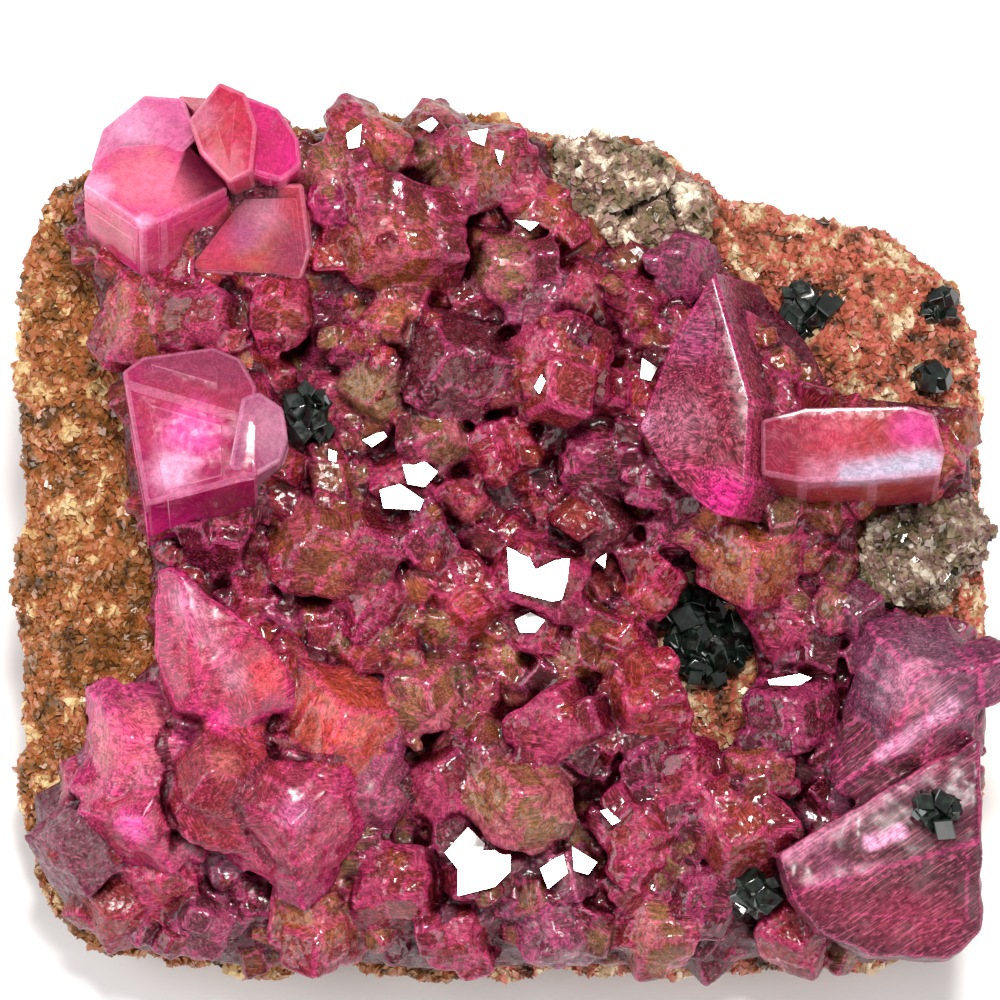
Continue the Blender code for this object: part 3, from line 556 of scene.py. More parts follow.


# %% [markdown]
# ## Growing solids together
# Overlapping crystals are one solid in nature, and glassy finishes need that too: light that enters one
# crystal must not meet the hidden skin of the next. A Boolean union removes all hidden skins. Blender's
# MANIFOLD solver takes a whole collection of closed solids in one go, in a second or two, and it keeps the
# colours that each face carries. Cutting can leave small loose pieces behind, which are taken out.
#
# The next cells hold three more tools: one measures how open the space before each point is, for the
# painted shade in crevices, one softens a mesh, and one makes a finished piece of it.


# %% Union and cutting
LEAST_SHARE = 0.02                  # loose pieces with fewer of the faces than this are taken out


def evaluated(obj):
    """The object's mesh as its modifiers make it."""
    graph = bpy.context.evaluated_depsgraph_get()
    return bpy.data.meshes.new_from_object(obj.evaluated_get(graph))


def combine(mesh, others, operation):
    """The mesh joined with the others, or with the others cut away from it."""
    obj = linked("combined", mesh)
    collection = bpy.data.collections.new("others")
    for other in others:
        collection.objects.link(bpy.data.objects.new("others", other))
    modifier = obj.modifiers.new(operation.title(), "BOOLEAN")
    modifier.operation = operation
    modifier.solver = "MANIFOLD"
    modifier.operand_type = "COLLECTION"
    modifier.collection = collection
    result = evaluated(obj)
    if operation == "UNION" and len(result.polygons) == len(mesh.polygons):
        raise RuntimeError("the union was skipped: one of the meshes isn't closed")
    for old in list(collection.objects) + [obj]:
        old_mesh = old.data
        bpy.data.objects.remove(old)
        bpy.data.meshes.remove(old_mesh)
    bpy.data.collections.remove(collection)
    return result


def without_scraps(mesh):
    """The mesh without its small loose pieces, which cutting can leave behind."""
    edit = bmesh.new()
    edit.from_mesh(mesh)
    seen, scraps, count = set(), [], 0
    for seed in edit.faces:
        if seed in seen:
            continue
        island, front = [], [seed]
        seen.add(seed)
        while front:
            face = front.pop()
            island.append(face)
            near = {other for edge in face.edges for other in edge.link_faces} - seen
            seen |= near
            front += near
        if len(island) < LEAST_SHARE * len(edit.faces):
            scraps += island
            count += 1
    bmesh.ops.delete(edit, geom=scraps, context="FACES")
    edit.to_mesh(mesh)
    edit.free()
    print("loose pieces taken out:", count, "with", len(scraps), "faces")
    return mesh


# %% How open the space before a surface is
OPEN_REACH = 2.6                    # how far away a neighbour still takes light, in mm
SKIN_LIFT = 0.03                    # the rays start this far off the surface
LEAST_LEAN = 0.1                    # and none runs flatter along it than this
SKY_WAYS = 30
GOLDEN_ANGLE = 2.39996
SKY = [Vector((math.sqrt(1 - z * z) * math.cos(i * GOLDEN_ANGLE),
               math.sqrt(1 - z * z) * math.sin(i * GOLDEN_ANGLE), z))
       for i in range(SKY_WAYS) for z in ((i + 0.5) / (SKY_WAYS / 2) - 1,)]


def tree_of(mesh):
    """A search tree of the mesh, for rays."""
    mesh.calc_loop_triangles()
    points = [v.co.copy() for v in mesh.vertices]
    return BVHTree.FromPolygons(points, [tuple(t.vertices) for t in mesh.loop_triangles])


def paint_openness(mesh, reach=OPEN_REACH):
    """Stores on each point how open the space before it is, from 0 in a crevice to 1 on a free corner."""
    tree = tree_of(mesh)
    values = []
    for vertex, held in zip(mesh.vertices, mesh.vertex_normals):
        normal = held.vector
        start = vertex.co + normal * SKIN_LIFT
        weight = seen = 0.0
        for way in SKY:
            lean = way.dot(normal)
            if lean > LEAST_LEAN:
                weight += lean
                distance = tree.ray_cast(start, way, reach)[3]
                seen += lean if distance is None else lean * (distance / reach) ** 2
        values.append(seen / max(weight, TINY))
    mesh.attributes.new("openness", "FLOAT", "POINT").data.foreach_set("value", values)


print("openness is measured in", len(SKY), "directions")


# %% Softening
def in_cells(name, mesh, voxel):
    """A new object of the mesh that rebuilds it in small even cells."""
    obj = linked(name, mesh)
    remesh = obj.modifiers.new("Remesh", "REMESH")
    remesh.mode = "VOXEL"
    remesh.voxel_size = voxel
    return obj


def push_of(place, relief):
    """How far uneven stone stands out at a place. The relief is rows of (size of the lumps, height)."""
    return sum(height * noise.noise(place / size) for size, height in relief)


def softened(mesh, voxel, smoothing, relief, kept=1.0):
    """The mesh rebuilt in small even cells, with soft edges, uneven faces and its old looks.

    Smoothing is a number of steps, and kept the share of the cells that is kept where they say the same."""
    obj = in_cells("softened", mesh, voxel)
    if kept < 1.0:
        thinned = obj.modifiers.new("Thinned", "DECIMATE")
        thinned.ratio = kept
    smooth = obj.modifiers.new("Smooth", "SMOOTH")
    smooth.iterations = smoothing
    result = evaluated(obj)
    bpy.data.objects.remove(obj)

    old_faces = [tuple(f.vertices) for f in mesh.polygons]
    tree = BVHTree.FromPolygons([v.co.copy() for v in mesh.vertices], old_faces)
    nearest = [tree.find_nearest(f.center)[2] for f in result.polygons]
    for layer, (_, field, width) in LOOK_LAYERS.items():
        values = np.empty(len(old_faces) * width, dtype=np.float32)
        mesh.attributes[layer].data.foreach_get(field, values)
        store(result, layer, values.reshape(-1, width)[nearest].ravel())

    for vertex, normal in zip(result.vertices, [n.vector.copy() for n in result.vertex_normals]):
        vertex.co += normal * push_of(vertex.co, relief)
    return result


print("softening keeps these looks:", ", ".join(LOOK_LAYERS))


# %% Finished pieces
SMOOTH_ANGLE = 32.0                 # creases sharper than this stay sharp


def riding(name, mesh, replaced=()):
    """A mesh in metres as a piece that rides on the root and stands for the replaced solids."""
    mesh.name = name
    piece = linked(name, mesh)
    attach(piece, "root")
    if replaced:
        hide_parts(*replaced)
    print(name, "has", sum(len(f.vertices) - 2 for f in mesh.polygons), "triangles")


def finished(name, mesh, material, replaced, smooth_angle=SMOOTH_ANGLE):
    """The finished piece: in metres, smooth over its rounds and sharp at its creases, riding on the root."""
    mesh.transform(Matrix.Scale(MM, 4))
    mesh.materials.clear()
    mesh.materials.append(material)
    mesh.shade_smooth()
    mesh.set_sharp_from_angle(angle=math.radians(smooth_angle))
    riding(name, mesh, replaced)


# %% [markdown]
# ## The finish of the crystals
# Pink dolomite is translucent: light soaks in, turns redder, and comes out near the edges, which glow in
# magenta. That glow is painted on every pink crystal: the rounds of the edges get a painted magenta glow
# or, on some large crystals, a painted pale highlight. In the large crystals subsurface scattering adds a
# real glow, a little transmission lets one look some way in, and a low roughness gives the glassy flash of
# a cleavage face. The small ones do without scattering, which costs much time and hardly shows on them.
#
# The colour runs from the crystal's heart to its rim with the distance from the heart, which is why every
# face carries the place of its heart, and the heart is painted lighter, a painted glow of light coming
# through. Veils, fine strokes and blushes break it up: a blush is a spot or a streak of another colour
# round a line on the face, and some blushes are painted highlights, reflections, glows and shadows.
# Crevices get painted shade: where the space before the surface is closed, the colour is darkened and
# the shine lowered. Last, a crystal face is never one mirror: a cell pattern tilts it in small patches,
# each a slightly different way, and these patches make the sparkle.


# %% Small helpers for node trees
def fill(tree, node, inputs):
    """Sets inputs of a node; a value may be another node's output."""
    for key, value in inputs.items():
        socket = node.inputs[key]
        if isinstance(value, bpy.types.NodeSocket):
            tree.links.new(value, socket)
        else:
            socket.default_value = value


def add_node(tree, kind, inputs=None, **settings):
    """A node with its settings and inputs."""
    node = tree.nodes.new(kind)
    for key, value in settings.items():
        setattr(node, key, value)
    fill(tree, node, inputs or {})
    return node


def maths(tree, operation, *values):
    return add_node(tree, "ShaderNodeMath", dict(enumerate(values)), operation=operation).outputs[0]


def vector_maths(tree, operation, *values, result="Vector"):
    return add_node(tree, "ShaderNodeVectorMath", dict(enumerate(values)), operation=operation).outputs[result]


def scaled(tree, colour, factor):
    """A colour or a place, times a number."""
    return add_node(tree, "ShaderNodeVectorMath", {0: colour, "Scale": factor}, operation="SCALE").outputs["Vector"]


def mixed(tree, share, first, second, blend="MIX"):
    """Two colours mixed. A Mix node has its colours at inputs 6 and 7 and gives one at output 2."""
    inputs = {0: share, 6: first, 7: second}
    return add_node(tree, "ShaderNodeMix", inputs, data_type="RGBA", blend_type=blend).outputs[2]


def attribute(tree, name, output="Fac"):
    return add_node(tree, "ShaderNodeAttribute", attribute_name=name).outputs[output]


def place_on(tree):
    """The place on the piece, in metres."""
    return add_node(tree, "ShaderNodeTexCoord").outputs["Object"]


def noise_of(tree, place, size, detail=3.0, **inputs):
    """Noise whose features are about size metres wide."""
    inputs = {"Vector": place, "Scale": 1 / size, "Detail": detail, **inputs}
    return add_node(tree, "ShaderNodeTexNoise", inputs).outputs["Fac"]


def cells_of(tree, place, size):
    """A random colour for each cell of a pattern whose cells are about size metres wide."""
    inputs = {"Vector": place, "Scale": 1 / size, "Randomness": 1.0}
    return add_node(tree, "ShaderNodeTexVoronoi", inputs).outputs["Color"]


def spread_over(tree, value, low, high, new_low=0.0, new_high=1.0):
    """Maps a value from one range to another, with soft ends."""
    return add_node(
        tree, "ShaderNodeMapRange",
        {"Value": value, "From Min": low, "From Max": high, "To Min": new_low, "To Max": new_high},
        interpolation_type="SMOOTHSTEP").outputs["Result"]


def bumped(tree, height, strength, distance):
    """A normal bent by a height."""
    inputs = {"Height": height, "Strength": strength, "Distance": distance}
    return add_node(tree, "ShaderNodeBump", inputs).outputs["Normal"]


def tilted_patches(tree, place, normal, size, strength):
    """The normal, tilted in each patch of a cell pattern another way."""
    tilt = vector_maths(tree, "SUBTRACT", cells_of(tree, place, size), (0.5, 0.5, 0.5))
    return vector_maths(tree, "NORMALIZE", vector_maths(tree, "ADD", scaled(tree, tilt, strength), normal))


def strokes(tree, place, patch, width, length, way):
    """Noise drawn out into fine parallel strokes: one way on the face, or in each patch of cells another."""
    if way:
        way = (to_world(way) - to_world((0, 0, 0))).normalized()
        along = vector_maths(tree, "DOT_PRODUCT", place, way, result="Value")
        taken = scaled(tree, way * (1 - width / length), along)
        return noise_of(tree, vector_maths(tree, "SUBTRACT", place, taken), width, 3.0, Distortion=0.2)
    turn = scaled(tree, cells_of(tree, place, patch), math.tau)
    turned = add_node(tree, "ShaderNodeVectorRotate", {"Vector": place, "Rotation": turn},
                      rotation_type="EULER_XYZ").outputs["Vector"]
    drawn = vector_maths(tree, "MULTIPLY", turned, (1.0, 1.0, width / length))
    return noise_of(tree, drawn, width, 2.0, Distortion=0.4)


def distance_from(tree, place, start, end):
    """Distance from a straight line between two places on the face."""
    start, along = to_world(start) * MM, (to_world(end) - to_world(start)) * MM
    from_start = vector_maths(tree, "SUBTRACT", place, start)
    if along.length == 0:
        return vector_maths(tree, "LENGTH", from_start, result="Value")
    reach = vector_maths(tree, "DOT_PRODUCT", from_start, along / along.length_squared, result="Value")
    reach = add_node(tree, "ShaderNodeClamp", {"Value": reach}).outputs["Result"]
    return vector_maths(tree, "DISTANCE", from_start, scaled(tree, along, reach), result="Value")


def new_material(name):
    """A material, its tree and its shader."""
    material = bpy.data.materials.new(name)
    material.use_nodes = True
    return material, material.node_tree, material.node_tree.nodes["Principled BSDF"]


# %% Pink dolomite
HEART_REACH = (0.61, 1.09)          # where heart turns to rim, as a share of the girth plus half the noise
PATCH_SIZE, VEIL_SIZE, BORDER_SIZE = 0.26 * MM, 1.3 * MM, 0.8 * MM
FLECK_SIZE, GLOSS_SIZE, WAVE_SIZE, WAVE_HEIGHT = 0.30 * MM, 0.6 * MM, 1.0 * MM, 0.14 * MM
HEART_LIGHT = 1.5                   # painted glow: the heart is lighter than the rim, as light comes through it
VEIL_SHARE = 0.45
VEIL_COLOUR = (*screen(196, 110, 140), 1.0)
# painted glow on the rounds of the edges, magenta as if light came out there
EDGE_GLOW_COLOUR = (*screen(226, 70, 140), 1.0)
EDGE_GLOW_SHARE = 0.22
PALE_EDGE_HIGHLIGHT = (*screen(250, 170, 204), 1.0), 0.2        # painted highlight on the rounds: its colour, and its share
LINE_COLOUR = (*screen(212, 112, 138), 1.0)
STROKE_PATCH, STROKE_WIDTH, STROKE_LENGTH = 1.2 * MM, 0.085 * MM, 0.7 * MM
FIBRE_LENGTH = 5 * STROKE_LENGTH    # of strokes that all run one way
TINT_RANGE = (0.82, 1.22)           # the darkest and the lightest crystal
PAINTED_SHADE_COLOUR = (0.12, 0.05, 0.06, 1.0)        # painted shade: the colour that crevices are darkened towards
PAINTED_SHADE_SHARE = 0.96
PAINTED_SHADE_SHINE = 0.08
FLASH_SHINE = 0.5
SCATTER_RADIUS = (1.0, 0.14, 0.34)  # red travels furthest inside
SCATTER_DEPTH = 0.8 * MM
DOLOMITE_IOR = 1.68


def pink_dolomite(name, depth, transmission, scatter, veil, roughness, sparkle, lined, grain, shine, uneven,
                  blushes=(), way=None, edges=(EDGE_GLOW_COLOUR, EDGE_GLOW_SHARE)):
    """The crystals' finish. A blush is a line on the face: (start, end, radius in mm, colour, strength).

    Depth scales the colours, lined is the share of the strokes, way the one direction on the face that they
    run, if they do, and edges is (colour, share) of the rounds."""
    material, tree, shader = new_material(name)
    place = place_on(tree)
    distance = vector_maths(tree, "DISTANCE", place, attribute(tree, "heart", "Vector"), result="Value")
    share = maths(tree, "DIVIDE", distance, attribute(tree, "girth"))
    border = noise_of(tree, place, BORDER_SIZE)
    zone = spread_over(tree, maths(tree, "MULTIPLY_ADD", border, 0.5, share), *HEART_REACH)
    heart = scaled(tree, attribute(tree, "heart_colour", "Color"), min(1.0, depth * HEART_LIGHT))
    colour = mixed(tree, zone, heart, scaled(tree, attribute(tree, "rim_colour", "Color"), depth))

    veil_noise = noise_of(tree, place, VEIL_SIZE, 4.0, Distortion=1.4, Roughness=0.65)
    veiled = spread_over(tree, veil_noise, 0.62 - 0.2 * veil, 0.86 - 0.2 * veil, 0.0, VEIL_SHARE)
    colour = mixed(tree, veiled, colour, VEIL_COLOUR)
    # blushes: spots and streaks of colour, some of them painted highlights, reflections, glows and shadows
    for start, end, radius, shade, strength in blushes:
        radius *= MM
        away = maths(tree, "MULTIPLY_ADD", border, 0.8 * radius, distance_from(tree, place, start, end))
        blush = spread_over(tree, away, 1.6 * radius, 0.6 * radius, 0.0, strength)
        colour = mixed(tree, blush, colour, (*shade, 1.0))

    length = FIBRE_LENGTH if way else STROKE_LENGTH
    fine = strokes(tree, place, STROKE_PATCH, STROKE_WIDTH, length, way)
    colour = mixed(tree, spread_over(tree, fine, 0.52, 0.72, 0.0, lined), colour, LINE_COLOUR)
    # the rounds of the edges get a painted glow, in pale colours a painted highlight
    edge_glow_colour, edge_glow_share = edges
    colour = mixed(tree, maths(tree, "MULTIPLY", attribute(tree, "edge"), edge_glow_share), colour, edge_glow_colour)
    tint = spread_over(tree, attribute(tree, "tint"), 0.0, 1.0, *TINT_RANGE)
    fleck = noise_of(tree, place, FLECK_SIZE, 2.0, Roughness=0.7)
    grained = spread_over(tree, maths(tree, "ADD", fine, fleck), 0.72, 1.28, 1 - grain, 1 + grain)
    colour = scaled(tree, scaled(tree, colour, tint), grained)
    # painted shade: the colour is darkened in crevices, where the openness is low
    openness = attribute(tree, "openness")
    closed = spread_over(tree, openness, 0.95, 0.38, 0.0, PAINTED_SHADE_SHARE)
    colour = mixed(tree, closed, colour, mixed(tree, 1.0, colour, PAINTED_SHADE_COLOUR, "MULTIPLY"))

    polish = attribute(tree, "polish")
    coarse = maths(tree, "SUBTRACT", 1.0, polish)
    gloss = noise_of(tree, place, GLOSS_SIZE)
    rough = spread_over(tree, gloss, 0.3, 0.7, roughness - 0.05, roughness + 0.15)
    waves = noise_of(tree, place, WAVE_SIZE)
    bump = bumped(tree, waves, maths(tree, "MULTIPLY", coarse, uneven), WAVE_HEIGHT)
    shining = spread_over(tree, polish, 0.5, 1.0, shine, FLASH_SHINE)
    # painted shade on reflections: the shine is lowered in crevices
    free = spread_over(tree, openness, 0.3, 0.85, PAINTED_SHADE_SHINE, 1.0)
    shader.subsurface_method = "BURLEY"
    fill(tree, shader, {
        "Base Color": colour, "IOR": DOLOMITE_IOR, "Transmission Weight": transmission,
        "Roughness": maths(tree, "MULTIPLY_ADD", rough, coarse, 0.05),
        "Normal": tilted_patches(tree, place, bump, PATCH_SIZE, maths(tree, "MULTIPLY", coarse, sparkle)),
        "Specular IOR Level": maths(tree, "MULTIPLY", shining, free),
        "Subsurface Weight": scatter, "Subsurface Radius": SCATTER_RADIUS, "Subsurface Scale": SCATTER_DEPTH})
    return material


crust_finish = pink_dolomite(
    "pink_dolomite_crust", depth=0.24, transmission=0.0, scatter=0.0, veil=0.1, roughness=0.2, sparkle=0.45,
    lined=0.2, grain=0.5, shine=0.26, uneven=0.5)
print("finish:", crust_finish.name)


# %% [markdown]
# ## The large crystals, as planes
# The large crystals set the look of the piece, so the main ones have outlines that are drawn corner by
# corner, and the others of their groups are plain rhombohedra. All are listed before the carpet of small
# ones, because the carpet is cut along them.

# %% Outlines of the large crystals
# Each block: (outline of its nearest face, height w at its first corner, the face's slopes along u and v,
# the vector along which its sides run back, and any faces that cut its front, as a point and its slopes)
CROWN_BLOCKS = (
    (((-17.65, 13.6), (-20.65, 15.65), (-20.1, 17.0), (-19.0, 17.7), (-15.75, 18.0), (-13.45, 15.6),
      (-16.6, 13.8)),
     4.6, (-0.03, -0.88), (-0.1, -2.6, -3.6)),
    (((-20.5, 16.6), (-19.9, 18.6), (-17.8, 20.3), (-15.8, 20.1), (-15.0, 18.2), (-17.4, 16.0)),
     0.1, (0.3, -0.25), (0.3, -1.6, -4.4)),
    (((-15.5, 18.9), (-13.95, 20.8), (-12.6, 20.2), (-12.0, 18.5), (-12.2, 16.2), (-13.4, 15.6),
      (-14.9, 17.2)),
     1.9, (0.42, -0.3), (0.2, -1.2, -5.2)),
    (((-12.6, 20.1), (-11.0, 19.5), (-10.0, 18.0), (-9.85, 16.6), (-10.8, 15.8), (-12.3, 16.2),
      (-12.9, 18.4)),
     2.2, (-0.4, -0.22), (-0.1, -1.3, -5.0)),
    (((-13.6, 15.7), (-9.8, 15.8), (-9.4, 12.5), (-9.9, 11.0), (-15.2, 11.3), (-15.2, 13.6)),
     1.7, (-0.14, 0.1), (0.1, -0.5, -4.6)),
)
LEFT_TABLET_BLOCKS = (
    (((-17.5, -0.25), (-18.75, 6.5), (-17.75, 7.4), (-14.25, 8.1), (-12.85, 7.5), (-12.05, 5.9),
      (-12.0, 1.2)),
     3.7, (0.05, -0.18), (-0.1, -2.4, -5.4), (((-15.5, 5.4, 2.6), (-0.05, -0.52)),)),
    (((-12.8, 5.1), (-11.9, 5.4), (-10.75, 4.6), (-10.5, 3.0), (-10.85, 1.9), (-12.2, 1.1), (-13.4, 1.6)),
     3.2, (-0.38, -0.12), (-0.1, -1.0, -5.0)),
)
LOWER_LEFT_BLOCKS = (
    (((-17.15, -3.1), (-14.75, -3.4), (-13.0, -5.0), (-11.6, -6.75), (-10.5, -7.6), (-10.45, -10.0),
      (-13.0, -10.9), (-16.1, -10.3), (-17.2, -7.5)),
     2.6, (-0.1, -0.14), (0.2, -1.4, -4.8),
     (((-13.0, -8.6, 2.5), (-0.42, 0.12)), ((-16.2, -6.0, 2.5), (0.4, -0.05)))),
)
RIGHT_RHOMB_BLOCKS = (
    (((12.45, 4.9), (10.6, 11.4), (8.4, 7.75), (6.85, 3.6), (8.4, 0.9), (10.1, -0.6), (11.1, -0.8),
      (12.2, 1.0)),
     3.6, (0.12, -0.14), (2.6, -0.5, -5.2), (((8.6, 1.5, 3.5), (0.25, 0.3)),)),
)
RIGHT_BLOCK_BLOCKS = (
    (((15.15, 4.6), (20.25, 4.7), (21.5, 4.3), (22.05, 2.5), (21.8, 1.3), (18.5, 1.0), (15.0, 0.9),
      (12.9, 1.3), (12.9, 4.0)),
     2.9, (-0.02, -0.03), (0.1, -1.4, -4.4)),
)
LOWER_RIGHT_BLOCKS = (
    (((13.75, -17.5), (15.0, -16.6), (19.0, -14.4), (22.3, -12.4), (23.8, -11.8), (24.0, -21.2),
      (22.3, -22.6), (18.5, -22.4), (15.7, -21.3), (14.4, -19.7)),
     2.4, (0.04, -0.16), (0.0, -0.6, -4.8), (((20.3, -17.8, 2.75), (-0.1, 0.34)),)),
)

# %% The other large crystals: (u, v, w, size, direction it leans to, lean, turn)
CROWN_RHOMBS = (
    (-13.3, 17.0, -0.6, 3.4, 60, 20, 30),
)
LOWER_LEFT_RHOMBS = (
    (-18.1, -12.4, 0.3, 3.9, 150, 18, 35), (-17.9, -15.4, 0.5, 3.8, 240, 16, 80),
    (-13.8, -13.8, 0.7, 4.4, 100, 14, 10), (-10.2, -15.8, 0.9, 4.3, 280, 10, 55),
    (-7.8, -11.4, 0.3, 4.0, 60, 18, 25), (-10.6, -12.6, -0.4, 3.4, 20, 20, 60),
    (-6.6, -14.2, -0.3, 2.9, 320, 24, 70),
)
LOWER_RIGHT_RHOMBS = (
    (20.7, -9.4, 0.4, 4.2, 130, 18, 40), (20.0, -12.2, 0.0, 3.8, 70, 24, 0),
    (22.0, -11.0, 0.0, 2.9, 30, 20, 75),
)

# name: (blocks, rhombohedra, colour pair of each)
LARGE_CRYSTALS = {
    "crown_crystals": (CROWN_BLOCKS, CROWN_RHOMBS, ("rose", "lilac", "raspberry", "magenta", "tan", "raspberry")),
    "left_tablet_crystal": (LEFT_TABLET_BLOCKS, (), ("magenta", "lilac")),
    "lower_left_crystals": (LOWER_LEFT_BLOCKS, LOWER_LEFT_RHOMBS,
                            ("magenta", "rose", "magenta", "raspberry", "magenta", "red", "wine", "mauve")),
    "right_rhomb_crystal": (RIGHT_RHOMB_BLOCKS, (), ("magenta",)),
    "right_block_crystal": (RIGHT_BLOCK_BLOCKS, (), ("raspberry",)),
    "lower_right_crystals": (LOWER_RIGHT_BLOCKS, LOWER_RIGHT_RHOMBS, ("mauve", "lilac", "mauve", "mauve")),
}
SEED = 20

piece_rng = random.Random(SEED + 3)
large_planes = {}
for name, (blocks, rhombs, _) in LARGE_CRYSTALS.items():
    large_planes[name] = [block(*row) for row in blocks]
    large_planes[name] += [rhombohedron(row[:3], *row[3:], piece_rng) for row in rhombs]
    print(name, "is made of", len(large_planes[name]), "crystals")

# %% [markdown]
# ## The carpet of small crystals
# Between the large crystals grows a carpet of rhombohedra, 3 to 5 mm across, that lean every way. The ones
# that stand out are placed one by one with a colour pair each, and smaller ones fill what room is left. A last
# generation of the smallest crystals is dropped onto the carpet from above, wherever it lands, as real
# ones settle on older faces.

# %% Areas of the carpet
PINK_AREA = (
    (-20.0, 17.2), (-15.0, 18.0), (-9.5, 18.4), (-7.5, 19.0), (-3.5, 19.2), (0.0, 19.0),
    (2.3, 18.0), (2.8, 15.4), (4.2, 13.8), (6.4, 12.4), (10.2, 12.4), (13.0, 10.6),
    (15.4, 7.9), (16.6, 5.3), (20.2, 4.9), (23.6, 4.6), (23.8, -0.4), (20.2, 0.2),
    (18.0, -1.0), (17.8, -3.4), (19.2, -5.8), (22.8, -6.0), (24.1, -6.6),
    (23.8, -11.0), (24.0, -15.0), (23.4, -19.0), (21.8, -22.0), (18.8, -23.5), (14.0, -23.1),
    (9.0, -23.7), (3.0, -23.4), (-2.5, -23.8), (-8.0, -23.3), (-13.5, -23.5), (-18.3, -22.8),
    (-21.5, -21.4), (-23.3, -18.7), (-23.6, -15.0), (-21.2, -13.7), (-19.4, -10.0), (-17.2, -8.0),
    (-17.4, -3.0), (-18.6, 0.0), (-19.2, 6.5), (-20.3, 10.0), (-21.2, 13.5),
)
HOLLOW = ((7.9, -5.0), (9.6, -3.4), (12.4, -4.6), (13.0, -8.6), (12.4, -12.2), (10.4, -12.8), (8.0, -9.6))
PALE_TOP_AREA = (
    (2.8, 18.1), (5.0, 18.0), (7.4, 17.6), (9.7, 16.0), (10.4, 14.0), (9.0, 12.7),
    (6.2, 12.9), (4.0, 14.2), (3.2, 15.6),
)
PALE_RIGHT_AREA = (
    (18.6, -1.2), (20.4, -0.5), (23.0, -0.8), (23.2, -3.6), (22.4, -5.3), (19.4, -5.2), (18.3, -3.2),
)
# dark clusters: (u, v, half width, half height, number of crystals, height above the rock)
DARK_CLUSTERS = (
    (10.5, -6.9, 2.2, 2.4, 9, 0.0), (-9.7, 4.2, 1.2, 1.2, 6, 1.9), (15.3, 9.5, 1.5, 1.1, 6, 0.1),
    (22.2, 9.8, 0.9, 0.8, 4, 0.1), (21.8, 6.1, 0.6, 0.6, 3, 0.0), (21.8, -15.5, 1.2, 0.9, 4, 4.9),
    (12.6, -19.7, 1.2, 0.8, 5, 2.0),
)

# %% Crystals of the carpet that stand out
FACE_SHARE = 0.8                    # distance between opposite faces, as a share of the breadth
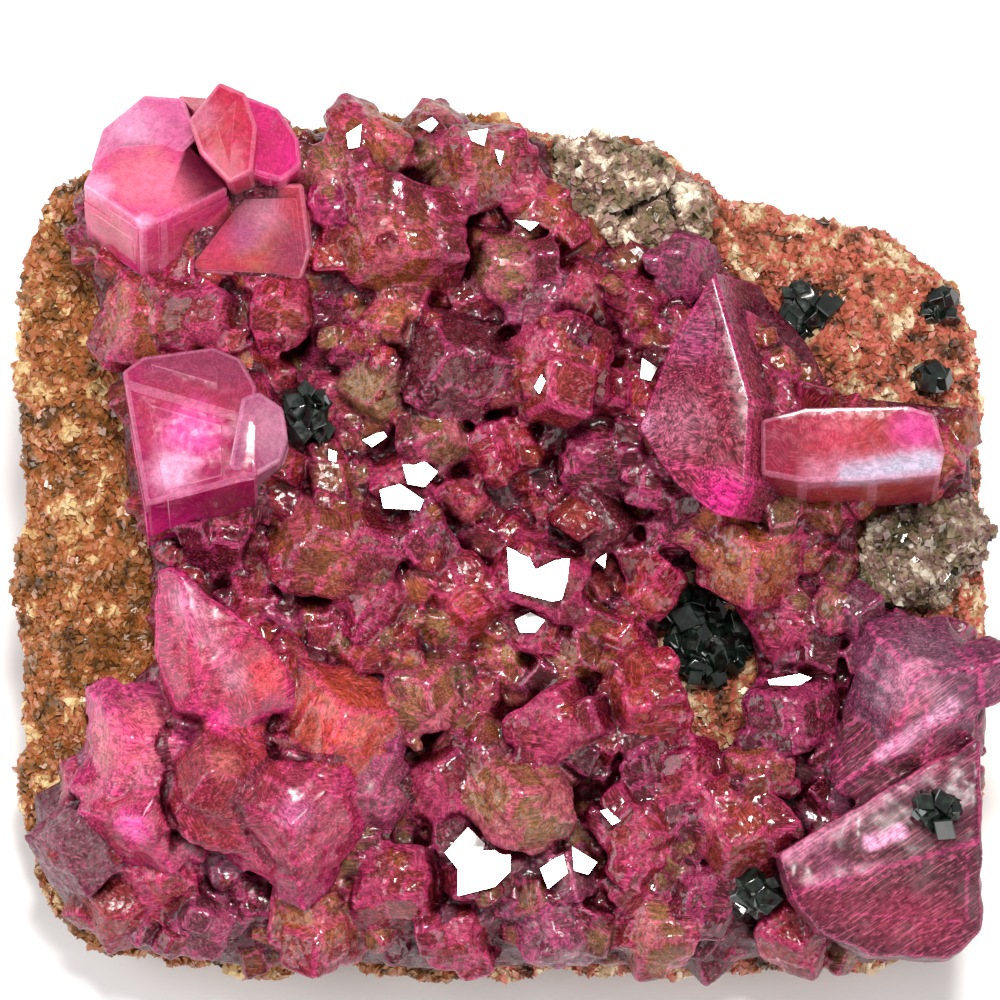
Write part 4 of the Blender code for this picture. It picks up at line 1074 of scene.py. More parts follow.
# (u, v, height of the middle above the layer, breadth, direction it leans to, lean, turn, colour pair)
CARPET_CRYSTALS = (
    (-6.4, 17.4, 0.4, 4.3, 80, 28, 10, "orange"), (-8.4, 16.2, 0.2, 3.2, 200, 30, 40, "tan"),
    (-1.3, 16.8, 0.5, 3.9, 100, 24, 55, "orange"), (-8.7, 14.6, 0.5, 2.4, 230, 50, 5, "magenta"),
    (-5.2, 12.8, 0.6, 5.2, 250, 22, 15, "orange"), (1.2, 15.5, 0.2, 3.2, 30, 35, 70, "red"),
    (-3.4, 19.0, 0.0, 2.6, 80, 30, 20, "tan"), (0.2, 11.6, 0.3, 3.3, 140, 20, 35, "tan"),
    (2.2, 9.5, 0.4, 3.4, 300, 30, 80, "mauve"), (4.2, 10.8, 0.2, 3.4, 60, 26, 0, "red"),
    (7.0, 10.0, 0.1, 3.3, 350, 32, 25, "raspberry"), (9.0, 11.8, 0.0, 3.0, 40, 20, 65, "mauve"),
    (-17.5, 9.2, 0.3, 4.5, 150, 22, 30, "orange"), (-14.6, 8.8, 0.2, 3.6, 280, 28, 90, "raspberry"),
    (-10.8, 9.7, 0.4, 3.4, 20, 40, 50, "red"), (-8.4, 8.0, 0.3, 3.5, 190, 25, 15, "wine"),
    (-5.4, 9.0, 0.2, 3.3, 320, 28, 60, "orange"), (-2.4, 7.0, 0.6, 4.6, 90, 15, 20, "wine"),
    (-6.2, 5.5, 0.1, 3.3, 240, 30, 75, "tan"), (2.5, 6.2, 0.7, 5.4, 255, 26, 0, "red"),
    (-8.5, 5.3, 0.1, 3.2, 120, 22, 45, "raspberry"), (-3.0, 3.5, 0.3, 3.4, 15, 34, 85, "tan"),
    (0.1, 2.4, 0.2, 3.3, 290, 24, 5, "raspberry"), (4.6, 2.5, 0.4, 3.5, 170, 28, 35, "wine"),
    (6.2, 5.3, -0.4, 2.8, 60, 36, 70, "wine"), (-8.9, -2.0, 0.6, 5.2, 130, 18, 25, "orange"),
    (-13.7, -2.0, 0.1, 3.2, 330, 30, 55, "wine"), (-5.0, 1.0, 0.4, 2.9, 92, 34, 0, "raspberry"),
    (-4.0, -2.0, 0.4, 3.6, 210, 26, 80, "wine"), (-6.1, -4.7, 0.2, 3.4, 10, 22, 15, "raspberry"),
    (2.0, -3.7, 0.6, 4.3, 92, 32, 30, "raspberry"), (1.5, -6.4, 0.4, 2.8, 95, 30, 60, "raspberry"),
    (-1.6, -5.2, 0.4, 3.4, 260, 28, 40, "red"), (5.2, -1.0, 0.3, 3.4, 350, 24, 10, "wine"),
    (7.2, -4.4, 0.0, 3.1, 220, 36, 75, "red"), (7.6, 1.0, 0.1, 3.2, 110, 30, 50, "wine"),
    (12.6, -3.0, 0.4, 4.4, 75, 16, 45, "orange"), (14.5, -6.2, 0.2, 3.8, 300, 22, 15, "raspberry"),
    (16.9, -5.2, 0.5, 2.2, 90, 20, 45, "tan"), (14.7, -10.6, 0.4, 4.2, 88, 30, 70, "wine"),
    (7.2, -10.2, 0.4, 4.3, 200, 24, 35, "red"), (2.8, -11.4, 0.5, 4.4, 330, 28, 5, "raspberry"),
    (-4.0, -9.8, 0.4, 4.1, 50, 26, 60, "tan"), (-3.2, -14.2, 0.3, 3.7, 160, 30, 85, "raspberry"),
    (1.0, -15.1, 0.7, 5.4, 85, 14, 30, "tan"), (-20.9, -14.2, 0.2, 2.6, 190, 28, 20, "raspberry"),
    (-0.8, -17.9, 0.5, 4.1, 93, 33, 50, "raspberry"), (3.3, -18.6, 0.3, 3.4, 80, 30, 75, "mauve"),
    (7.0, -16.6, 0.4, 4.1, 20, 24, 10, "raspberry"), (11.7, -16.5, 0.5, 4.4, 240, 20, 40, "red"),
    (13.0, -13.6, 0.2, 3.2, 130, 30, 65, "orange"), (9.6, -14.1, 0.2, 3.4, 310, 26, 0, "raspberry"),
    (10.2, -19.3, 0.2, 3.8, 100, 28, 30, "wine"), (-17.5, -18.6, 0.3, 4.4, 215, 22, 55, "raspberry"),
    (-21.0, -17.4, 0.2, 4.0, 175, 22, 80, "mauve"), (-12.6, -20.2, 0.1, 3.3, 280, 30, 20, "wine"),
    (-9.2, -20.8, 0.3, 4.2, 60, 24, 45, "orange"), (-4.9, -19.4, 0.4, 4.2, 340, 26, 70, "raspberry"),
    (-15.2, -21.0, 0.2, 4.0, 110, 24, 15, "mauve"), (-19.4, -20.2, 0.1, 3.6, 240, 26, 40, "raspberry"),
    (-2.4, -21.6, 0.2, 3.8, 20, 28, 65, "raspberry"), (3.0, -21.7, 0.2, 3.6, 270, 24, 5, "mauve"),
    (8.0, -21.7, 0.1, 3.8, 200, 26, 35, "tan"), (14.6, -21.9, 0.1, 3.4, 300, 22, 60, "raspberry"),
    (22.3, 2.6, -0.2, 2.8, 20, 24, 10, "raspberry"), (17.6, -12.6, 0.1, 3.2, 70, 28, 45, "mauve"),
)
print(len(CARPET_CRYSTALS), "crystals of the carpet are placed by hand")

# %% The carpet's crystals as planes
CARPET_THICKNESS = 1.9
FILL_SPACING = 3.0
FILL_SIZES = (2.2, 2.9)
FILL_RISE = (-0.5, 0.3)
FILL_LEAN = 48                      # the most that a crystal leans, in degrees
LEAN_FROM = 8                       # and the least
ONE_TURN = 120                      # a crystal looks the same after a third of a turn
FILL_MARGIN = 1.0
FILL_OVERLAP = 0.4


def any_way(rng, most_lean):
    """A direction to lean to, a lean and a turn, in degrees."""
    return rng.uniform(0, 360), rng.uniform(LEAN_FROM, most_lean), rng.uniform(0, ONE_TURN)


def standing(u, v, rise, size, lean_to, lean, turn, rng):
    """A carpet crystal with its middle rise above the layer."""
    w = rock_surface(u, v) + GAP + CARPET_THICKNESS + rise
    return rhombohedron((u, v, w), size * FACE_SHARE, lean_to, lean, turn, rng)


def may_stand(u, v):
    """Whether a small crystal may stand here: away from the hollow and from the dark clusters."""
    near_dark = any(math.hypot(u - row[0], v - row[1]) < row[2] + FILL_MARGIN for row in DARK_CLUSTERS)
    return not near_dark and not inside(HOLLOW, u, v) and distance_to(HOLLOW, u, v) > FILL_MARGIN


# Which colours are common where: (u, v, colour pairs)
SHADES = (
    (-5.0, 16.0, ("orange", "orange", "red", "tan")), (-14.0, 9.5, ("orange", "red", "raspberry")),
    (-6.0, 10.0, ("orange", "tan", "orange", "red")), (3.0, 10.0, ("red", "tan", "wine", "orange")),
    (-2.0, 6.5, ("wine", "wine", "raspberry")), (3.5, 4.5, ("red", "red", "wine")),
    (-8.0, 3.0, ("orange", "tan", "red")), (-4.0, 0.0, ("red", "raspberry", "orange")),
    (2.0, -3.0, ("raspberry", "wine", "red")), (-9.0, -2.5, ("tan", "orange", "raspberry")),
    (-13.0, -4.0, ("raspberry", "wine", "red")), (-3.0, -9.0, ("tan", "orange", "red")),
    (6.0, -8.0, ("red", "orange", "wine")), (12.0, -3.0, ("orange", "wine", "tan")),
    (9.0, -14.0, ("wine", "orange", "red")), (1.0, -14.0, ("tan", "wine", "orange")),
    (17.0, -10.0, ("wine", "mauve", "wine")), (21.0, -14.0, ("mauve", "lilac", "wine")),
    (20.0, 2.0, ("raspberry", "orange")), (0.0, -20.0, ("wine", "mauve", "tan")),
    (10.0, -20.0, ("wine", "raspberry", "tan")), (-18.0, -19.0, ("mauve", "raspberry", "lilac")),
    (-9.0, -20.0, ("orange", "tan", "wine")), (-14.0, -14.0, ("raspberry", "orange", "wine")),
)


def shade_at(u, v, rng):
    """The name of a colour pair that is common near this place."""
    nearest = min(SHADES, key=lambda row: math.hypot(u - row[0], v - row[1]))
    return rng.choice(nearest[2])


rng = random.Random(SEED + 2)
shade_rng = random.Random(SEED + 7)
carpet = [(standing(*row[:7], rng), row[3], row[7]) for row in CARPET_CRYSTALS]
taken = [(row[0], row[1], row[3]) for row in CARPET_CRYSTALS]
for u, v in scattered(PINK_AREA, FILL_SPACING, FILL_MARGIN, rng, may_stand):
    size = rng.uniform(*FILL_SIZES)
    way = any_way(rng, FILL_LEAN)
    if all(math.hypot(u - x, v - y) > FILL_OVERLAP * (other + size) for x, y, other in taken):
        planes = standing(u, v, rng.uniform(*FILL_RISE), size, *way, rng)
        carpet.append((planes, size, shade_at(u, v, shade_rng)))
        taken.append((u, v, size))
print("the carpet has", len(carpet), "crystals before the smallest ones")


# %% [markdown]
# ## The large crystals, as solids
# Each large crystal is its planes, rounded at the edges, with growth plates and a few offshoots on its front
# faces. The solids of one group are grown together, and a group is cut a hair clear of the groups before
# it, so that no two glassy skins cross. The two lower groups are softened, and shallow grooves part the
# crystals of the left one. Every group has its own finish, with blushes of colour: some where the stone is
# clearer, greyer or hotter, and some that are painted highlights, reflections, glows and shadows.

# %% Blushes of the large crystals
SALMON = screen(255, 116, 152)
HOT_PINK = screen(240, 78, 164)
# painted glow: the hot magenta of thin tips and edges that light shines through
NEON_GLOW = screen(228, 30, 132)
# painted highlights and reflections, in white-lilac
LILAC_HIGHLIGHT = screen(244, 168, 206)
# painted highlight: an icy band of reflected light
ICE_HIGHLIGHT = screen(196, 186, 210)
ROSE = screen(212, 66, 108)
EMBER = screen(204, 62, 72)
DUSK = screen(190, 100, 96)
# the stone's deep red; round one lower-left crystal it is painted shade
DEEP_RED_AND_SHADE = screen(134, 42, 66)
MAUVE = screen(172, 82, 126)
PALE_MAUVE = screen(202, 128, 156)
CHERRY = screen(184, 36, 80)
PLUM = screen(138, 50, 84)
SHADOW = screen(64, 26, 36)

# group: (how deep its colour is, how grained, its roughness, its shine, its bumps, the way of its strokes,
# and its blushes: (place on the face, or the two ends of a streak, radius in mm, colour, strength))
LARGE_LOOKS = {
    "crown_crystals": (0.95, 0.2, 0.14, 0.3, 0.2, None, (
        ((-17.4, 16.0, 3.0), (-15.8, 15.6, 3.0), 1.9, SALMON, 0.95), ((-14.8, 16.6, 2.0), 1.3, HOT_PINK, 0.5),
        ((-20.0, 15.6, 3.0), 1.1, LILAC_HIGHLIGHT, 0.8), ((-17.6, 13.7, 4.4), 0.6, LILAC_HIGHLIGHT, 0.8),
        ((-20.4, 13.4, 2.6), (-18.6, 11.4, 1.0), 1.6, CHERRY, 0.9),
        ((-16.6, 12.4, 3.2), (-14.2, 13.8, 2.4), 1.7, CHERRY, 0.7),
        ((-18.4, 11.6, 1.0), 1.0, NEON_GLOW, 0.7), ((-18.6, 18.8, 0.6), 1.6, LILAC_HIGHLIGHT, 0.55),
        ((-12.6, 17.8, 2.2), 1.3, CHERRY, 0.6), ((-14.6, 19.0, 2.0), 1.2, PALE_MAUVE, 0.5),
        ((-10.3, 17.2, 2.0), 1.2, NEON_GLOW, 0.6), ((-11.9, 14.2, 1.6), 1.6, PALE_MAUVE, 0.7),
        ((-10.4, 12.4, 1.4), 1.8, PLUM, 0.75), ((-12.8, 13.2, 1.6), 1.2, MAUVE, 0.9),
        ((-14.2, 12.9, 1.6), 1.3, ROSE, 0.6),
    )),
    "left_tablet_crystal": (0.50, 0.2, 0.12, 0.32, 0.2, None, (
        ((-16.6, 7.2, 2.0), (-13.4, 6.8, 2.0), 2.2, PLUM, 0.85), ((-15.3, 3.4, 3.4), 1.9, HOT_PINK, 0.9),
        # painted reflection on the lower left of the tablet's face
        ((-16.2, 1.4, 3.8), 1.5, LILAC_HIGHLIGHT, 0.85), ((-11.7, 3.6, 2.8), 1.8, PALE_MAUVE, 0.7),
        ((-13.4, 3.4, 3.0), 0.5, LILAC_HIGHLIGHT, 0.6),
        # painted glow along the tablet's lower edge
        ((-18.2, 2.4, 2.0), 1.2, HOT_PINK, 0.6), ((-16.8, -1.6, 0.6), 2.4, NEON_GLOW, 0.9),
        ((-13.4, -0.2, 1.8), 1.6, DEEP_RED_AND_SHADE, 0.6),
    )),
    "lower_left_crystals": (0.36, 0.5, 0.26, 0.24, 0.15, None, (
        ((-15.6, -5.0, 2.4), (-13.2, -8.8, 2.2), 1.0, PALE_MAUVE, 0.6), ((-11.6, -8.6, 1.8), 1.5, EMBER, 0.8),
        ((-18.4, -11.6, 2.6), 1.6, ROSE, 0.5), ((-18.2, -16.2, 2.6), 1.1, HOT_PINK, 0.9),
        ((-18.0, -14.0, 3.2), 1.2, PALE_MAUVE, 0.4), ((-13.6, -12.8, 4.0), 1.2, DUSK, 0.8),
        ((-13.8, -10.9, 2.8), 0.9, NEON_GLOW, 0.6),
        # painted shade round one crystal, with a mauve middle
        ((-10.1, -15.7, 3.0), 3.6, DEEP_RED_AND_SHADE, 0.75), ((-10.1, -15.4, 3.4), 1.2, MAUVE, 0.8),
        ((-8.0, -11.2, 2.2), 1.3, EMBER, 0.5),
    )),
    "right_rhomb_crystal": (0.23, 0.7, 0.2, 0.2, 0.25, None, (
        # painted glow at the crystal's lower tip
        ((8.8, 3.8, 3.2), 2.0, PALE_MAUVE, 0.3), ((11.2, 0.2, 3.4), 1.7, NEON_GLOW, 0.85),
        ((9.6, 8.0, 3.4), 1.6, MAUVE, 0.5), ((12.4, 10.0, -0.3), (13.6, 1.6, 1.2), 1.7, SHADOW, 0.8),
        ((7.2, 3.6, 2.8), 0.8, LILAC_HIGHLIGHT, 0.5),
    )),
    "right_block_crystal": (0.54, 0.25, 0.14, 0.32, 0.2, None, (
        ((16.6, 3.4, 2.8), 1.8, ROSE, 0.4), ((20.6, 3.4, 2.6), 1.6, HOT_PINK, 0.7),
        ((14.0, 2.6, 2.8), 1.6, DEEP_RED_AND_SHADE, 0.5),
        # a painted highlight band along the lower side: a pale halo round an icy core
        ((15.8, 1.2, 2.6), (21.2, 1.8, 2.8), 1.3, PALE_MAUVE, 0.7),
        ((17.2, 1.2, 2.6), (21.2, 1.9, 2.8), 0.8, ICE_HIGHLIGHT, 0.95),
    )),
    "lower_right_crystals": (0.18, 0.5, 0.34, 0.18, 0.12, (0.82, 0.57, 0.0), (
        ((17.4, -10.4, 2.5), (21.6, -7.4, 2.8), 0.6, PALE_MAUVE, 0.8),
        ((19.0, -12.6, 2.1), (22.4, -10.2, 2.2), 0.6, LILAC_HIGHLIGHT, 0.5),
        ((16.6, -13.0, 2.2), (21.0, -10.0, 2.5), 0.6, DEEP_RED_AND_SHADE, 0.7),
        ((15.4, -19.4, 1.6), (21.6, -21.0, 1.6), 2.0, DEEP_RED_AND_SHADE, 0.5),
        ((14.4, -17.6, 2.5), (21.6, -13.2, 2.6), 0.7, PALE_MAUVE, 0.6), ((16.4, -18.4, 2.6), 1.2, MAUVE, 0.3),
        ((20.4, -20.8, 1.6), 2.4, DEEP_RED_AND_SHADE, 0.5), ((18.4, -17.0, 2.4), (19.8, -16.5, 2.3), 0.5, LILAC_HIGHLIGHT, 0.9),
        ((15.4, -19.0, 2.6), (22.4, -17.0, 2.0), 0.4, PALE_MAUVE, 0.5),
        ((20.4, -9.2, 2.2), 1.8, PALE_MAUVE, 0.5), ((21.6, -12.4, 1.6), 1.6, DEEP_RED_AND_SHADE, 0.4),
    )),
}

# group: (cell size of its softening in mm, smoothing steps, (size of the bumps, height))
SOFT_GROUPS = {
    "lower_left_crystals": (0.20, 5, ((1.5, 0.20), (0.6, 0.05))),
    "lower_right_crystals": (0.20, 3, ((1.6, 0.24), (0.6, 0.05))),
}
# groups whose rounds get the magenta painted glow instead of the pale painted highlight
NO_PALE_EDGE_HIGHLIGHT = (*SOFT_GROUPS, "right_rhomb_crystal")

# Grooves between crystals that are grown together: lines of places on the face
GROOVES = {
    "lower_left_crystals": (
        [(-7.9, -12.9), (-9.4, -12.8), (-11.2, -12.7), (-12.3, -13.7), (-13.1, -14.9), (-12.6, -16.5),
         (-11.5, -18.1), (-10.0, -18.5)],
        [(-16.3, -10.9), (-16.9, -12.1), (-16.3, -13.3), (-16.8, -14.9), (-16.1, -16.3), (-16.3, -17.4)],
        [(-11.2, -10.9), (-11.6, -11.8), (-11.2, -12.7)],
    ),
}
GROOVE_WIDTH, GROOVE_DEPTH = 0.4, 0.35
print("blushes:", {name: len(looks[-1]) for name, looks in LARGE_LOOKS.items()})

# %% Large crystals
EDGE_ROUND, PLATE_ROUND, OFFSHOOT_ROUND = 0.24, 0.05, 0.14
GIRTH_SHARE = 0.62                  # a crystal's girth, as a share of its greatest width
PLATE_COUNT, PLATE_STEP, PLATE_DRAW = 6, 0.07, 0.35
LARGE_OFFSHOOTS = (12, (0.35, 0.6), 22, 0.85)   # how many, their size as a share, their twist, how far sunk
LARGE_POLISH = 0.3
LARGE_SPREAD = 0.06                 # how much their colours vary
CLEARNESS = 0.2                     # transmission of the groups that aren't softened
CLEAR = 0.02                        # gap between crystals of different pieces
DROP_HEIGHT = 30.0                  # lines into the face start this far above it
DOWN = to_world((0, 0, -1)) - to_world((0, 0, 0))


def surface_under(tree, u, v):
    """Height w at which a straight line into the face first meets the surface, or None."""
    hit = tree.ray_cast(to_world((u, v, DROP_HEIGHT)), DOWN)
    return None if hit[0] is None else to_face(hit[0])[2]


def sharp_solid(planes, pair=PAIRS["wine"], girth=1.0, *look):
    """A sharp-edged solid, to cut from another or to join to it; its looks are on the faces that it leaves."""
    return solid_mesh(planes, 0, 1, middle_of(planes), girth, pair, *look)


def grooved(mesh, lines, width, depth):
    """The mesh with grooves along these lines on the face, each cut as a row of thin slabs."""
    tree, slabs = tree_of(mesh), []
    for line in lines:
        for start, end in zip(line, line[1:]):
            (a, b), (c, d) = start, end
            along = Vector((c - a, d - b)).normalized() * width / 2
            side = along.orthogonal()
            outline = ((a - along.x - side.x, b - along.y - side.y), (a - along.x + side.x, b - along.y + side.y),
                       (c + along.x + side.x, d + along.y + side.y), (c + along.x - side.x, d + along.y - side.y))
            heights = [surface_under(tree, u, v) for u, v in (start, end, ((a + c) / 2, (b + d) / 2))]
            heights = [w for w in heights if w is not None]
            if heights:
                planes = block(outline, DROP_HEIGHT, (0, 0), (0, 0, min(heights) - depth - DROP_HEIGHT))
                slabs.append(sharp_solid(planes))
    return combine(mesh, slabs, "DIFFERENCE")


def cut_clear(mesh, crystals, gap):
    """The mesh with these crystals, grown by the gap, cut out of it."""
    cutters = [solid_mesh(grown(planes, gap), 0, 1, (0, 0, 0), 1, PAIRS["wine"]) for planes in crystals]
    return combine(mesh, cutters, "DIFFERENCE")


plate_rng = random.Random(SEED + 11)
earlier = []
large_meshes = []
for name, (blocks, rhombs, shades) in LARGE_CRYSTALS.items():
    depth, grain, roughness, shine, uneven, way, blushes = LARGE_LOOKS[name]
    solids = []
    for number, (planes, shade) in enumerate(zip(large_planes[name], shades)):
        shape = polyhedron(planes)
        heart = np.mean(shape[0], axis=0)
        girth = np.ptp(np.array(shape[0]), axis=0).max() * GIRTH_SHARE
        look = heart, girth, varied(shade, plate_rng, LARGE_SPREAD)
        solids.append(shape_mesh(shape, EDGE_ROUND, 3, *look, polish=LARGE_POLISH))
        for plate in plates(planes, PLATE_COUNT, PLATE_STEP, PLATE_DRAW * girth, plate_rng):
            solids.append(solid_mesh(plate, PLATE_ROUND, 1, *look, 0.5, LARGE_POLISH))
        if number >= len(blocks):
            for part in offshoots(shape, *LARGE_OFFSHOOTS, plate_rng):
                solids.append(shape_mesh(part, OFFSHOOT_ROUND, 2, *look, plate_rng.random(), LARGE_POLISH))
    mesh = combine(solids[0], solids[1:], "UNION")
    if name in GROOVES:
        mesh = grooved(mesh, GROOVES[name], GROOVE_WIDTH, GROOVE_DEPTH)
    if name in SOFT_GROUPS:
        mesh = softened(mesh, *SOFT_GROUPS[name])
    if earlier:
        mesh = cut_clear(mesh, earlier, CLEAR)
    earlier += large_planes[name]
    mesh = without_scraps(mesh)
    large_meshes.append(mesh.copy())
    paint_openness(mesh)
    blushes = [row if len(row) == 5 else (row[0], *row) for row in blushes]
    clear = 0.0 if name in SOFT_GROUPS else CLEARNESS
    edges = (EDGE_GLOW_COLOUR, EDGE_GLOW_SHARE) if name in NO_PALE_EDGE_HIGHLIGHT else PALE_EDGE_HIGHLIGHT
    look = pink_dolomite(
        "pink_dolomite_" + name, depth, transmission=clear, scatter=0.6, veil=0.3, roughness=roughness,
        sparkle=0.05, lined=min(0.3, 0.6 * grain), grain=grain, shine=shine, uneven=uneven, blushes=blushes,
        way=way, edges=edges)
    finished(name + "_look", mesh, look, [name])

# %% [markdown]
# ## The carpet, as one solid
# A thin layer of rock-hugging dolomite carries the carpet. It is a sheet of triangles laid over the rock's
# height formula and closed all round. The crystals and their offshoots are united with it, and the smallest
# crystals are dropped on the result.

# %% The layer
LAYER_SINK = 0.7
LAYER_EDGE_SHARE = 0.55             # how thick it is along its edges
LAYER_EDGE_STEP = 0.8               # points along its edges, as a share of their spacing elsewhere
LAYER_MARGIN = 0.5                  # the others keep this share of the spacing away from the edges
LAYER_BUMP_SIZE, LAYER_BUMP_PLACE = 0.9, 5.0    # and its place in the noise
LAYER_TINT = 0.3


def layer_mesh(area, holes, thickness, spacing, roughness, pair):
    """A closed sheet that follows the rock, from below its surface to thickness above it."""
    rng = random.Random(SEED + 1)
    flat = stepped(area, spacing * LAYER_EDGE_STEP)
    edges = [(i, (i + 1) % len(flat)) for i in range(len(flat))]
    for hole in holes:
        start = len(flat)
        ring = stepped(hole, spacing * LAYER_EDGE_STEP)
        flat += ring
        edges += [(start + i, start + (i + 1) % len(ring)) for i in range(len(ring))]

    def is_free(u, v):
        return all(not inside(hole, u, v) and distance_to(hole, u, v) > margin for hole in holes)

    edge_count, margin = len(flat), LAYER_MARGIN * spacing
    flat += scattered(area, spacing, margin, rng, is_free)
    found = delaunay_2d_cdt([Vector(p) for p in flat], edges, [], 1, TINY)
    spots, triangles = found[0], []
    for face in found[2]:
        middle = sum((spots[i] for i in face), Vector((0, 0))) / 3
        if not any(inside(hole, *middle) for hole in holes):
            triangles.append(list(face))
    top, bottom = [], []
    for i, (u, v) in enumerate(spots):
        rise = thickness * (LAYER_EDGE_SHARE if i < edge_count else 1.0)
        bump = noise.noise(Vector((u, v, LAYER_BUMP_PLACE)) / LAYER_BUMP_SIZE) if i >= edge_count else 0.0
        top.append(to_world((u, v, rock_surface(u, v) + GAP + rise + roughness * bump)))
        bottom.append(to_world((u, v, rock_surface(u, v) - LAYER_SINK)))
    count = len(spots)
    faces = triangles + [[i + count for i in reversed(face)] for face in triangles]
    directed = {(a, b) for face in triangles for a, b in zip(face, face[1:] + face[:1])}
    faces += [[b, a, a + count, b + count] for a, b in directed if (b, a) not in directed]
    edit = closed_shell(top + bottom, faces)
    return with_looks(edit, (0.0, 0.0, -1.0), 1.0, LAYER_TINT, 0.0, [0.0] * len(edit.faces), pair)


# %% The carpet with its offshoots
CARPET_ROUND = (0.14, 0.24)         # rounding of the edges, as a share of the breadth
CARPET_OFFSHOOTS = ((0.35, 0.65), 24, 0.90)     # their size as a share, their twist, how far they are sunk
OFFSHOOTS_PER_MM = 3.0
OFFSHOOT_ROUNDING = 0.06            # also a share of the breadth
CARPET_INSET = 0.03                 # how far the faces are drawn in, to make room for the offshoots
SMALL_POLISH = 0.7                  # the most polished of the small crystals
CARPET_LAYER = (1.1, 0.35)          # spacing of the layer's points, and how bumpy it is
solids = []
for planes, size, shade in carpet:
    shape = polyhedron(grown(planes, -CARPET_INSET * size))
    look = np.mean(shape[0], axis=0), size * FACE_SHARE, varied(shade, plate_rng)
    solids.append(shape_mesh(shape, plate_rng.uniform(*CARPET_ROUND) * size, 2, *look))
    for part in offshoots(shape, round(OFFSHOOTS_PER_MM * size), *CARPET_OFFSHOOTS, plate_rng):
        tint, polish = plate_rng.random(), SMALL_POLISH * plate_rng.random()
        solids.append(shape_mesh(part, OFFSHOOT_ROUNDING * size, 1, *look, tint, polish))
layer = layer_mesh(PINK_AREA, [HOLLOW], CARPET_THICKNESS, *CARPET_LAYER, PAIRS["wine"])
crust = combine(layer, solids, "UNION")
print("carpet:", len(solids), "solids united,", len(crust.polygons), "faces")

# %% The smallest crystals, dropped onto the carpet
SMALLEST_SPACING = 1.15
SMALLEST_SIZES = (0.8, 1.8)
SMALLEST_MARGIN, SMALLEST_SINK, SMALLEST_ROUND, SMALLEST_LEAN = 0.3, 0.12, 0.07, 60
LOW_GROUND = 0.7                    # up to this far above the layer, most places get a crystal
LOW_CHANCE, HIGH_CHANCE = 0.85, 0.12
LOW_SCALE, HIGH_SCALE = 1.25, 0.75
drop_rng = random.Random(SEED + 12)
carpet_tree = tree_of(crust)
solids = []
for u, v in scattered(PINK_AREA, SMALLEST_SPACING, SMALLEST_MARGIN, drop_rng, may_stand):
    w = surface_under(carpet_tree, u, v)
    if w is None:
        continue
    low = w < rock_surface(u, v) + GAP + CARPET_THICKNESS + LOW_GROUND
    if drop_rng.random() > (LOW_CHANCE if low else HIGH_CHANCE):
        continue
    size = drop_rng.uniform(*SMALLEST_SIZES) * (LOW_SCALE if low else HIGH_SCALE)
    centre = (u, v, w - SMALLEST_SINK * size)
    planes = rhombohedron(centre, size * FACE_SHARE, *any_way(drop_rng, SMALLEST_LEAN), drop_rng)
    look = middle_of(planes), size * FACE_SHARE, varied(shade_at(u, v, shade_rng), drop_rng)
    tint, polish = drop_rng.random(), SMALL_POLISH * drop_rng.random()
    solids.append(solid_mesh(planes, SMALLEST_ROUND * size, 1, *look, tint, polish))
crust = combine(crust, solids, "UNION")
print("smallest crystals:", len(solids))

# %% [markdown]
# ## Soft crystals
# Dolomite crystals are rarely sharp: their faces are curved and their edges rounded. The united carpet is
# rebuilt in small even cells, smoothed a little and pushed in and out by noise. Each new face takes its
# looks from the nearest old one.

# %% The carpet, softened
CARPET_VOXEL = 0.17
CARPET_SMOOTHING = 1
CARPET_RELIEF = ((1.1, 0.10), (0.5, 0.05))      # (size of the bumps, height), in mm
CELLS_KEPT = 0.42

crust = softened(crust, CARPET_VOXEL, CARPET_SMOOTHING, CARPET_RELIEF, CELLS_KEPT)
print("softened carpet:", len(crust.polygons), "faces")

# %% [markdown]
# ## Facets that flash
# Here and there a clean cleavage face looks straight at the lamp and flashes white. Such a flash isn't
# painted: a facet is set to the angle halfway between the lamp and the camera, the one angle at which a
# mirror throws the lamp's light into the lens, and it is polished. From any other side it is a plain face.

